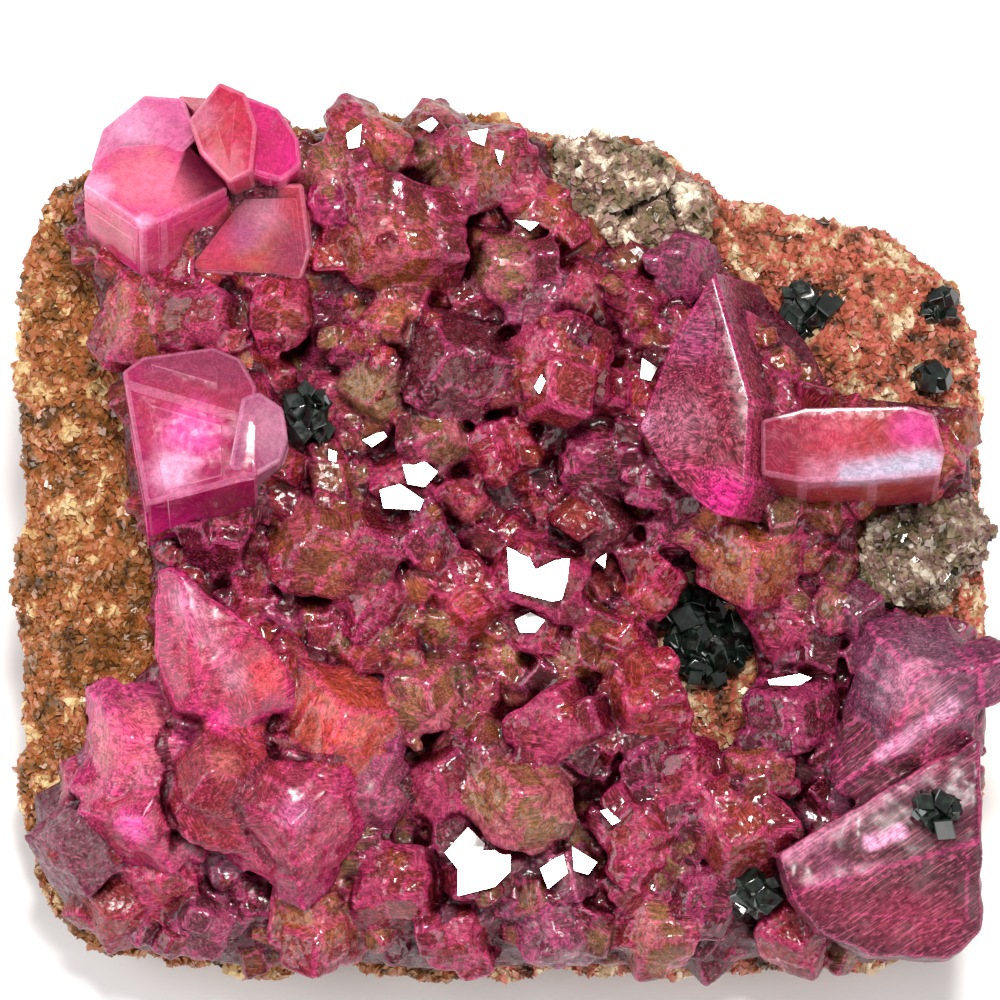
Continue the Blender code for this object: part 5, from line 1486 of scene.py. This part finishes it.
# %% Outlines of the flashing facets, on the face
FLASHES = (
    ((0.35, -2.35), (1.5, -2.85), (2.6, -5.05), (0.5, -4.5)),
    ((1.5, -2.85), (2.75, -2.9), (3.85, -2.3), (3.35, -4.0), (3.25, -4.9), (2.6, -5.05)),
    ((0.75, -6.0), (1.5, -5.6), (2.25, -6.0), (1.75, -6.6), (1.0, -6.6)),
    ((-2.75, -17.6), (-1.6, -16.35), (-0.75, -17.15), (-1.0, -18.0), (-2.1, -18.4)),
    ((-2.1, -18.4), (-1.0, -17.5), (0.55, -17.4), (0.5, -18.5), (-0.25, -19.25), (-2.1, -19.7)),
    ((2.0, -18.4), (3.2, -17.6), (3.4, -18.6), (2.4, -19.4)),
    ((3.6, -17.3), (4.85, -18.1), (4.4, -18.7), (3.7, -18.5)),
    ((-4.85, 1.75), (-3.75, 1.9), (-3.1, 1.4), (-3.75, 0.65), (-4.6, 0.8)),
    ((-6.0, 0.5), (-5.0, 0.8), (-3.8, 0.0), (-4.0, -0.5), (-5.8, -0.4)),
    ((-6.9, 3.0), (-5.8, 3.5), (-5.65, 3.15), (-6.4, 2.65)),
    ((-8.55, 2.55), (-8.15, 2.4), (-8.2, 1.9), (-8.55, 2.0)),
    ((1.7, 5.6), (2.05, 6.25), (2.3, 6.0), (1.95, 5.25)),
    ((4.75, -3.0), (5.35, -2.65), (5.25, -3.4)),
    ((7.1, 7.1), (7.85, 6.6), (7.5, 5.95), (7.0, 6.1)),
    ((-7.65, 18.25), (-6.9, 18.75), (-7.0, 17.6), (-7.55, 17.5)),
    ((-1.6, 18.35), (-0.6, 18.5), (-0.8, 17.65), (-1.4, 17.9)),
    ((-0.25, 17.5), (0.2, 17.4), (0.0, 16.7)),
    ((0.75, 14.0), (2.0, 13.9), (1.5, 13.45)),
    ((-17.25, -10.0), (-16.35, -10.4), (-16.4, -11.1), (-16.85, -11.5), (-17.15, -10.75)),
    ((13.4, -9.0), (15.0, -8.7), (15.6, -8.9), (15.0, -9.25), (13.5, -9.25)),
    ((5.0, -15.5), (5.35, -15.4), (6.0, -16.0), (5.6, -16.2)),
    ((-4.1, 18.8), (-3.4, 19.2), (-3.1, 18.9), (-3.5, 18.4)),
)
FLASH_DEPTH = 1.6
FLASH_LIFT = 0.1                    # how far a facet is raised above all but the highest of its corners
HOOD = 5.0                          # how far above a facet everything is cleared away
HOOD_LIFT = 0.01                    # but the facet's own skin is left


def halfway_normal(place):
    """The normal that throws the lamp's light into the lens, from a place on the face."""
    place = Vector(place)
    to_lamp = (Vector(LAMP_PLACE) - place).normalized()
    to_lens = (Vector((0, 0, CAMERA_DISTANCE)) - place).normalized()
    return (to_lamp + to_lens).normalized()


surfaces = [tree_of(crust)] + [tree_of(mesh) for mesh in large_meshes]
solids, hoods = [], []
for outline in FLASHES:
    heights = []
    for u, v in (*outline, tuple(np.mean(outline, axis=0))):
        found = [surface_under(tree, u, v) for tree in surfaces]
        heights.append(max(w for w in found if w is not None))
    middle_u, middle_v = np.mean(outline, axis=0)
    level = sorted(heights)[-2] + FLASH_LIFT
    normal = halfway_normal((middle_u, middle_v, level))
    slopes = -normal[0] / normal[2], -normal[1] / normal[2]
    start = level + slopes[0] * (outline[0][0] - middle_u) + slopes[1] * (outline[0][1] - middle_v)
    for made, top, depth in ((solids, start, FLASH_DEPTH), (hoods, start + HOOD, HOOD - HOOD_LIFT)):
        planes = block(outline, top, slopes, (0, 0, -depth))
        made.append(sharp_solid(planes, PAIRS["raspberry"], 2.0, 0.5, 1.0))
print("flashing facets:", len(solids))

# %% [markdown]
# ## The carpet, finished
# The facets are united with the carpet, and whatever stands in front of a facet or of a large crystal's
# nearest face is cleared away. Last, the carpet is cut along the large crystals, but reaches a hair under
# their skin, so that no gap shows. The facets are shaded flat, because a mirror must be level.

# %% The carpet with its facets, cut along the large crystals
CARPET_GRIP = 0.15                  # how far the carpet reaches under the large crystals' skin
HOOD_CLEARANCE = 0.05               # the hoods of large crystals end this far above their nearest face
POLISHED = 0.9                      # faces with more polish than this are mirrors
CARPET_SMOOTH_ANGLE = 70.0

for blocks, _, _ in LARGE_CRYSTALS.values():
    for outline, top, slopes, *_ in blocks:
        planes = block(outline, top + HOOD, slopes, (0, 0, HOOD_CLEARANCE - HOOD))
        hoods.append(sharp_solid(planes))
crust = combine(combine(crust, solids, "UNION"), hoods, "DIFFERENCE")
crust = without_scraps(cut_clear(crust, earlier, -CARPET_GRIP))
paint_openness(crust)
finished("crystal_crust_pink", crust, crust_finish, ["crystal_crust"], CARPET_SMOOTH_ANGLE)
facets = [f for f, polish in zip(crust.polygons, crust.attributes["polish"].data) if polish.value > POLISHED]
for face in facets:
    face.use_smooth = False
print("polished faces:", len(facets))


# %% [markdown]
# ## The rock
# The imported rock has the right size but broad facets. A copy of it is merged into one skin, remeshed into
# small even cells, and pushed in and out by three sizes of noise, so that it breaks like real fine-grained
# stone. The flat back stays flat, because the piece rests on it.

# %% Rock finish
BROWNS = ((0.0, screen(46, 26, 14)), (0.3, screen(104, 62, 30)), (0.6, screen(160, 100, 52)),
          (0.85, screen(190, 140, 84)), (1.0, screen(214, 182, 134)))
ROCK_LUMPS, ROCK_GRAIN, ROCK_PATCH, ROCK_GRAIN_HEIGHT = 4.0 * MM, 0.28 * MM, 0.24 * MM, 0.12 * MM


def colour_ramp(tree, value, stops):
    """A ramp of linear colours over a value from 0 to 1. Stops are (position, colour)."""
    ramp = add_node(tree, "ShaderNodeValToRGB", {"Fac": value})
    elements = ramp.color_ramp.elements
    while len(elements) < len(stops):
        elements.new(0.5)
    for element, (position, colour) in zip(elements, stops):
        element.position = position
        element.color = (*colour, 1.0)
    return ramp.outputs["Color"]


def brown_rock(name):
    material, tree, shader = new_material(name)
    place = place_on(tree)
    broad = noise_of(tree, place, ROCK_LUMPS, 5.0, Distortion=0.6)
    grain = noise_of(tree, place, ROCK_GRAIN, 4.0)
    both = maths(tree, "MULTIPLY_ADD", grain, 0.7, broad)
    colour = colour_ramp(tree, spread_over(tree, both, 0.55, 1.15), BROWNS)
    # painted shade: the rock is darker where the space before it is closed
    shade = spread_over(tree, attribute(tree, "openness"), 0.25, 0.95, 0.25, 1.0)
    bump = bumped(tree, grain, 0.8, ROCK_GRAIN_HEIGHT)
    fill(tree, shader, {
        "Base Color": scaled(tree, colour, shade), "Roughness": spread_over(tree, grain, 0.3, 0.7, 0.45, 0.8),
        "Normal": tilted_patches(tree, place, bump, ROCK_PATCH, 0.9)})
    return material


# %% Rock form
VOXEL = 0.40
RELIEF = ((3.2, 0.50), (1.3, 0.42), (0.6, 0.14))        # (size of the lumps, height), in mm
FLAT_UNTIL = 1.2                    # the relief fades out below this height, towards the flat back
ROCK_REACH = 1.8                    # how far away a neighbour still adds painted shade to the rock
ROCK_SMOOTH_ANGLE = 60.0
WELD = 0.001                        # corners of its triangles closer than this are one, in mm


def rock_mesh(node):
    """The node's mesh, merged, remeshed into small cells and roughened, in millimetres."""
    mesh = node.data.copy()
    mesh.transform(Matrix.Scale(1 / MM, 4))
    edit = bmesh.new()
    edit.from_mesh(mesh)
    bmesh.ops.remove_doubles(edit, verts=edit.verts, dist=WELD)
    edit.to_mesh(mesh)
    edit.free()
    obj = in_cells("rock", mesh, VOXEL)
    result = evaluated(obj)
    bpy.data.objects.remove(obj)
    for vertex, normal in zip(result.vertices, [n.vector.copy() for n in result.vertex_normals]):
        place = vertex.co.copy()
        vertex.co = place + normal * push_of(place, RELIEF) * smoothstep(place.z / FLAT_UNTIL)
        vertex.co.z = max(vertex.co.z, 0.0)
        if place.z < 0.5 * VOXEL:
            vertex.co.z = 0.0
    return result


rock_skin = rock_mesh(frame["nodes"]["matrix"])
paint_openness(rock_skin, ROCK_REACH)
rock_skin_copy = rock_skin.copy()
finished("matrix_rock", rock_skin, brown_rock("brown_rock"), ["matrix"], ROCK_SMOOTH_ANGLE)

# %% [markdown]
# ## Sugary grains on the rock
# Where it isn't covered, the rock is a druse: thousands of brown, orange and cream dolomite grains, a third
# of a millimetre across. Geometry Nodes scatter them. The tree spreads points over the skin wherever a
# "bare" value says so, sets one of a few tiny rhombohedra on each, turns and sizes it at random, and gives
# it a tint. The last two nodes turn the instances into real mesh and give them their finish, and the
# result is stored as a plain mesh. The left half of the face and the sides are brown, the right half redder.


# %% Grain shapes
GRAIN_CUT = (np.array((0.2, 0.1, 0.97)), 0.42)  # the plane that cuts a grain's end


def grain_object(name, squash, cut):
    """A tiny rhombohedron, one unit across, pressed flat by squash and with an end cut off if cut says so."""
    rng = random.Random(name)
    planes = rhombohedron((0, 0, 0), 1.0, 0, 0, 0, rng)[:6]
    if cut:
        planes.append(GRAIN_CUT)
    corners, faces = polyhedron(planes)
    mesh = bpy.data.meshes.new(name)
    mesh.from_pydata([(c[0], c[1], c[2] * squash) for c in corners], [], faces)
    edit = bmesh.new()
    edit.from_mesh(mesh)
    bmesh.ops.recalc_face_normals(edit, faces=edit.faces)
    edit.to_mesh(mesh)
    edit.free()
    return bpy.data.objects.new(name, mesh)


grain_shapes = bpy.data.collections.new("grain_shapes")
for number, (squash, cut) in enumerate(((1.0, False), (0.8, True), (0.65, False)), 1):
    grain_shapes.objects.link(grain_object(f"grain_{number}", squash, cut))


# %% Scatter tree
def scatter_tree(name, shapes, finish):
    """Geometry Nodes that cover a mesh with grains. Inputs: density, sizes, seed."""
    tree = bpy.data.node_groups.new(name, "GeometryNodeTree")
    tree.interface.new_socket("Geometry", in_out="INPUT", socket_type="NodeSocketGeometry")
    for label, default in (("Density", 1e6), ("Smallest", 0.0002), ("Largest", 0.0004)):
        socket = tree.interface.new_socket(label, in_out="INPUT", socket_type="NodeSocketFloat")
        socket.default_value = default
    seed = tree.interface.new_socket("Seed", in_out="INPUT", socket_type="NodeSocketInt")
    seed.default_value = 1
    tree.interface.new_socket("Geometry", in_out="OUTPUT", socket_type="NodeSocketGeometry")
    given = tree.nodes.new("NodeGroupInput").outputs
    out = tree.nodes.new("NodeGroupOutput")

    bare = add_node(tree, "GeometryNodeInputNamedAttribute", {"Name": "bare"}, data_type="FLOAT")
    density = maths(tree, "MULTIPLY", given["Density"], bare.outputs["Attribute"])
    seeded = {"Seed": given["Seed"]}
    spread = add_node(tree, "GeometryNodeDistributePointsOnFaces",
                      {"Mesh": given["Geometry"], "Density": density, **seeded})
    turn = add_node(tree, "FunctionNodeRandomValue", {1: (math.tau, math.tau, math.tau), **seeded},
                    data_type="FLOAT_VECTOR")
    size = add_node(tree, "FunctionNodeRandomValue", {2: given["Smallest"], 3: given["Largest"], **seeded},
                    data_type="FLOAT")
    pick = add_node(tree, "GeometryNodeCollectionInfo",
                    {"Collection": shapes, "Separate Children": True, "Reset Children": True})
    place = add_node(tree, "GeometryNodeInstanceOnPoints",
                     {"Points": spread.outputs["Points"], "Instance": pick.outputs["Instances"],
                      "Pick Instance": True, "Rotation": turn.outputs["Value"], "Scale": size.outputs[1]})
    tint = add_node(tree, "FunctionNodeRandomValue", seeded, data_type="FLOAT")
    stored = add_node(tree, "GeometryNodeStoreNamedAttribute",
                      {"Geometry": place.outputs["Instances"], "Name": "tint", "Value": tint.outputs[1]},
                      data_type="FLOAT", domain="INSTANCE")
    real = add_node(tree, "GeometryNodeRealizeInstances", {"Geometry": stored.outputs["Geometry"]})
    painted = add_node(tree, "GeometryNodeSetMaterial", {"Geometry": real.outputs["Geometry"], "Material": finish})
    tree.links.new(painted.outputs["Geometry"], out.inputs["Geometry"])
    return tree


def scatter_on(name, skin, bare, tree, slot, **values):
    """The grains that the tree makes where a skin (in millimetres) is bare, as a plain finished piece."""
    skin.attributes.new("bare", "FLOAT", "POINT").data.foreach_set("value", bare)
    skin.transform(Matrix.Scale(MM, 4))
    base = linked(name + "_base", skin)
    modifier = base.modifiers.new("Grains", "NODES")
    modifier.node_group = tree
    for item in tree.interface.items_tree:
        if item.item_type == "SOCKET" and item.in_out == "INPUT" and item.name in values:
            modifier[item.identifier] = values[item.name]
    mesh = evaluated(base)
    bpy.data.objects.remove(base)
    riding(name, mesh)


# %% Grain finish
LEFT_TINTS = ((0.0, screen(52, 34, 14)), (0.25, screen(112, 70, 30)), (0.5, screen(152, 96, 44)),
              (0.75, screen(170, 92, 52)), (0.9, screen(178, 130, 76)), (1.0, screen(212, 180, 128)))
RIGHT_TINTS = ((0.0, screen(28, 18, 14)), (0.25, screen(110, 62, 38)), (0.45, screen(176, 100, 72)),
               (0.65, screen(196, 92, 82)), (0.82, screen(172, 142, 96)), (1.0, screen(226, 200, 168)))
GRAIN_MOTTLE, GRAIN_SHADE = 1.4 * MM, 0.2 * MM
GRAIN_VARIETY = 0.4                 # how far a grain's own tint moves it along the stops


def grain_finish(name, stops, roughness):
    material, tree, shader = new_material(name)
    place = place_on(tree)
    broad = noise_of(tree, place, GRAIN_MOTTLE, 4.0, Distortion=0.5)
    value = spread_over(tree, broad, 0.28, 0.72, -0.15, 0.75)
    total = maths(tree, "MULTIPLY_ADD", attribute(tree, "tint"), GRAIN_VARIETY, value)
    # painted shade: grains are darker where the space before the rock is closed
    closed = spread_over(tree, attribute(tree, "openness"), 0.3, 0.9, 0.15, 1.0)
    shade = noise_of(tree, place, GRAIN_SHADE, 2.0)
    fill(tree, shader, {
        "Base Color": scaled(tree, colour_ramp(tree, total, stops), closed), "IOR": DOLOMITE_IOR,
        "Roughness": spread_over(tree, shade, 0.3, 0.7, roughness, roughness + 0.2)})
    return material


# %% Brown grains on the bare rock
SKIN_DEPTH = 1.6                    # the rock's skin lies no deeper than this under its formula
GRAINS_UNDER = 0.8                  # how far the grains reach under the carpet's edge
SIDES_FROM = 1.0                    # the sides have grains from this height up
GRAIN_SIZES = (0.00014, 0.00040)    # in metres
GRAIN_ROUGHNESS = 0.28


def stands_bare(position):
    """Whether this place of the rock's skin is on its crystal face and not under the carpet."""
    u, v, w = to_face(position)
    if not inside(OUTLINE, u, v) or w < rock_surface(u, v) - SKIN_DEPTH:
        return False
    covered = inside(PINK_AREA, u, v) and not inside(HOLLOW, u, v)
    return not covered or distance_to(PINK_AREA, u, v) < GRAINS_UNDER


def is_side(position):
    """Whether this place is on the rock's sides, above the flat back."""
    u, v, w = to_face(position)
    return position[2] > SIDES_FROM and not (inside(OUTLINE, u, v) and w > rock_surface(u, v) - SKIN_DEPTH)


left_finish = grain_finish("brown_grains", LEFT_TINTS, GRAIN_ROUGHNESS)
left_tree = scatter_tree("grains_on_left", grain_shapes, left_finish)
right_finish = grain_finish("reddish_grains", RIGHT_TINTS, GRAIN_ROUGHNESS)
right_tree = scatter_tree("grains_on_right", grain_shapes, right_finish)
# name, where, which half of the rock (-1 left, 1 right, 0 both), grains per square metre, seed
for name, is_wanted, half, density, seed in (("matrix_grains_left", stands_bare, -1, 26e6, 3),
                                             ("matrix_grains_right", stands_bare, 1, 26e6, 5),
                                             ("matrix_grains_sides", is_side, 0, 3.6e6, 4)):
    skin = rock_skin_copy.copy()
    bare = [float(is_wanted(v.co) and v.co.x * half >= 0) for v in skin.vertices]
    tree = right_tree if half == 1 else left_tree
    scatter_on(name, skin, bare, tree, "brown_rock",
               Density=density, Smallest=GRAIN_SIZES[0], Largest=GRAIN_SIZES[1], Seed=seed)


# %% [markdown]
# ## Dark clusters
# Small black-green crystals sit in the pits and in a hollow of the carpet. Each cluster is a low lump with
# blocky crystals round it, and a dust of much smaller ones, all with a hard gloss.

# %% Dark crystals
DARK_SIZES = (0.75, 1.25)
DARK_LUMP = (0.9, 0.8)              # the lump they share reaches this far above and below the ground
DARK_LUMP_SIDES, DARK_LUMP_REACH = 7, 0.8       # its reach is a share of the cluster's own
DARK_SPREAD, DARK_SHAKE = 0.75, 0.3             # how far out the crystals stand, and how unevenly
DARK_SWIRL = 2.4                    # each is this many times further round than its place in the row says
DARK_SHRINK = (0.45, 0.5)           # a narrow cluster has smaller crystals: a share, and more for each mm
DARK_PAIR = (screen(14, 26, 22), screen(5, 9, 7))
DARK_GREEN = screen(22, 36, 28)
DARK_PATCH = 0.5 * MM
DARK_IOR = 1.7
DUST_SIZES = (0.35, 0.8)
DUST_PER_AREA, LEAST_DUST = 10, 8
DARK_LEAN, DUST_LEAN = 70, 80       # the most that they lean, in degrees
DARK_RISE, DUST_RISE = (-0.2, 0.4), (-0.4, 0.5)
DARK_ROUND, DUST_ROUND = 0.05, 0.03


def dark_planes(u, v, half_u, half_v, count, rise, rng):
    """Planes of a low lump and of the blocky crystals round it."""
    ground = rock_surface(u, v) + rise
    above, below = DARK_LUMP
    lump = [(np.array((0.0, 0.0, 1.0)), ground + above), (np.array((0.0, 0.0, -1.0)), below - ground)]
    for i in range(DARK_LUMP_SIDES):
        angle = i * math.tau / DARK_LUMP_SIDES
        normal = np.array((math.cos(angle), math.sin(angle), 0.0))
        reach = math.hypot(half_u * normal[0], half_v * normal[1]) * DARK_LUMP_REACH
        lump.append((normal, normal @ (u, v, 0.0) + reach))
    made = [lump]
    for i in range(count):
        angle = i * math.tau / count + rng.uniform(-DARK_SHAKE, DARK_SHAKE)
        reach = math.sqrt((i + 0.5) / count) * DARK_SPREAD
        spot_u = u + half_u * reach * math.cos(angle * DARK_SWIRL)
        spot_v = v + half_v * reach * math.sin(angle * DARK_SWIRL)
        centre = (spot_u, spot_v, ground + above + rng.uniform(*DARK_RISE))
        size = rng.uniform(*DARK_SIZES) * min(1.0, DARK_SHRINK[0] + half_u * DARK_SHRINK[1])
        made.append(rhombohedron(centre, size, *any_way(rng, DARK_LEAN), rng))
    return made


def dark_finish():
    material, tree, shader = new_material("dark_crystals")
    patch = noise_of(tree, place_on(tree), DARK_PATCH)
    colour = mixed(tree, spread_over(tree, patch, 0.35, 0.7), (*DARK_PAIR[1], 1.0), (*DARK_GREEN, 1.0))
    rough = spread_over(tree, patch, 0.3, 0.7, 0.08, 0.3)
    fill(tree, shader, {"Base Color": colour, "Roughness": rough, "IOR": DARK_IOR})
    return material


dark_look = dark_finish()
dark_rng = random.Random(SEED + 14)
for number, row in enumerate(DARK_CLUSTERS, 1):
    name = f"dark_cluster_{number}"
    u, v, half_u, half_v, _, rise = row
    solids = [solid_mesh(p, DARK_ROUND, 1, (0, 0, 0), 1, DARK_PAIR) for p in dark_planes(*row, piece_rng)]
    for _ in range(round(DUST_PER_AREA * half_u * half_v) + LEAST_DUST):
        angle, reach = dark_rng.uniform(0, math.tau), math.sqrt(dark_rng.random())
        spot = (u + half_u * reach * math.cos(angle), v + half_v * reach * math.sin(angle),
                rock_surface(u, v) + rise + DARK_LUMP[0] + dark_rng.uniform(*DUST_RISE))
        planes = rhombohedron(spot, dark_rng.uniform(*DUST_SIZES), *any_way(dark_rng, DUST_LEAN), dark_rng)
        solids.append(solid_mesh(planes, DUST_ROUND, 1, (0, 0, 0), 1, DARK_PAIR))
    finished(name + "_look", combine(solids[0], solids[1:], "UNION"), dark_look, [name])

# %% [markdown]
# ## Pale granular patches
# Two patches are covered with colourless to grey grains instead of pink ones. They are made like the carpet
# and then dusted with tiny grains, by a Geometry Nodes tree like that of the rock.

# %% Pale patches
# name, area, spacing and sizes of the crystals, how light the grains are
PALE_PATCHES = (
    ("pale_patch_top", PALE_TOP_AREA, 1.9, (1.6, 2.3), 1.25),
    ("pale_patch_right", PALE_RIGHT_AREA, 2.1, (1.8, 2.6), 0.85),
)
PALE_THICKNESS = 0.7
PALE_RISE = (0.4, 0.9)
PALE_TINTS = ((0.0, screen(34, 30, 20)), (0.2, screen(84, 74, 52)), (0.45, screen(134, 116, 88)),
              (0.65, screen(130, 92, 92)), (0.85, screen(166, 146, 120)), (1.0, screen(214, 202, 184)))
PALE_PAIR = (screen(176, 160, 140), screen(150, 132, 110))
PALE_REACH = 1.6                    # how far away a neighbour adds painted shade to them
PALE_MARGIN, PALE_LEAN, PALE_ROUND = 0.3, 60, 0.15
PALE_LAYER = (0.9, 0.25)            # spacing of the layer's points, and how bumpy it is
PALE_GRAIN_SIZES = (0.00014, 0.00042)           # in metres
PALE_DENSITY = 22e6                 # grains per square metre


def pale_look(name):
    material, tree, shader = new_material(name)
    patch = noise_of(tree, place_on(tree), GRAIN_MOTTLE, 4.0, Distortion=0.5)
    colour = colour_ramp(tree, spread_over(tree, patch, 0.25, 0.75), PALE_TINTS)
    # painted shade: darker where the space before the patch is closed
    closed = spread_over(tree, attribute(tree, "openness"), 0.25, 0.9, 0.3, 1.0)
    fill(tree, shader, {"Base Color": scaled(tree, colour, closed), "Roughness": 0.3,
                        "Subsurface Weight": 0.3, "Subsurface Scale": 0.6 * MM})
    return material


pale_finish = pale_look("pale_grains_base")
for name, area, spacing, sizes, light in PALE_PATCHES:
    tints = tuple((stop, tuple(min(1.0, light * value) for value in colour)) for stop, colour in PALE_TINTS)
    pale_tree = scatter_tree(name + "_tree", grain_shapes, grain_finish(name, tints, 0.15))
    solids = []
    for u, v in scattered(area, spacing, PALE_MARGIN, piece_rng):
        size = piece_rng.uniform(*sizes)
        centre = (u, v, rock_surface(u, v) + GAP + piece_rng.uniform(*PALE_RISE))
        planes = rhombohedron(centre, size, *any_way(piece_rng, PALE_LEAN), piece_rng)
        solids.append(solid_mesh(planes, PALE_ROUND, 2, centre, size, PALE_PAIR))
    layer = layer_mesh(area, [], PALE_THICKNESS, *PALE_LAYER, PALE_PAIR)
    mesh = cut_clear(combine(layer, solids, "UNION"), earlier, CLEAR)
    paint_openness(mesh, PALE_REACH)
    skin = mesh.copy()
    bare = [float(w > rock_surface(u, v)) for u, v, w in (to_face(point.co) for point in skin.vertices)]
    finished(name + "_look", mesh, pale_finish, [name])
    scatter_on(name + "_grains", skin, bare, pale_tree, "pale_grains",
               Density=PALE_DENSITY, Smallest=PALE_GRAIN_SIZES[0], Largest=PALE_GRAIN_SIZES[1], Seed=5)
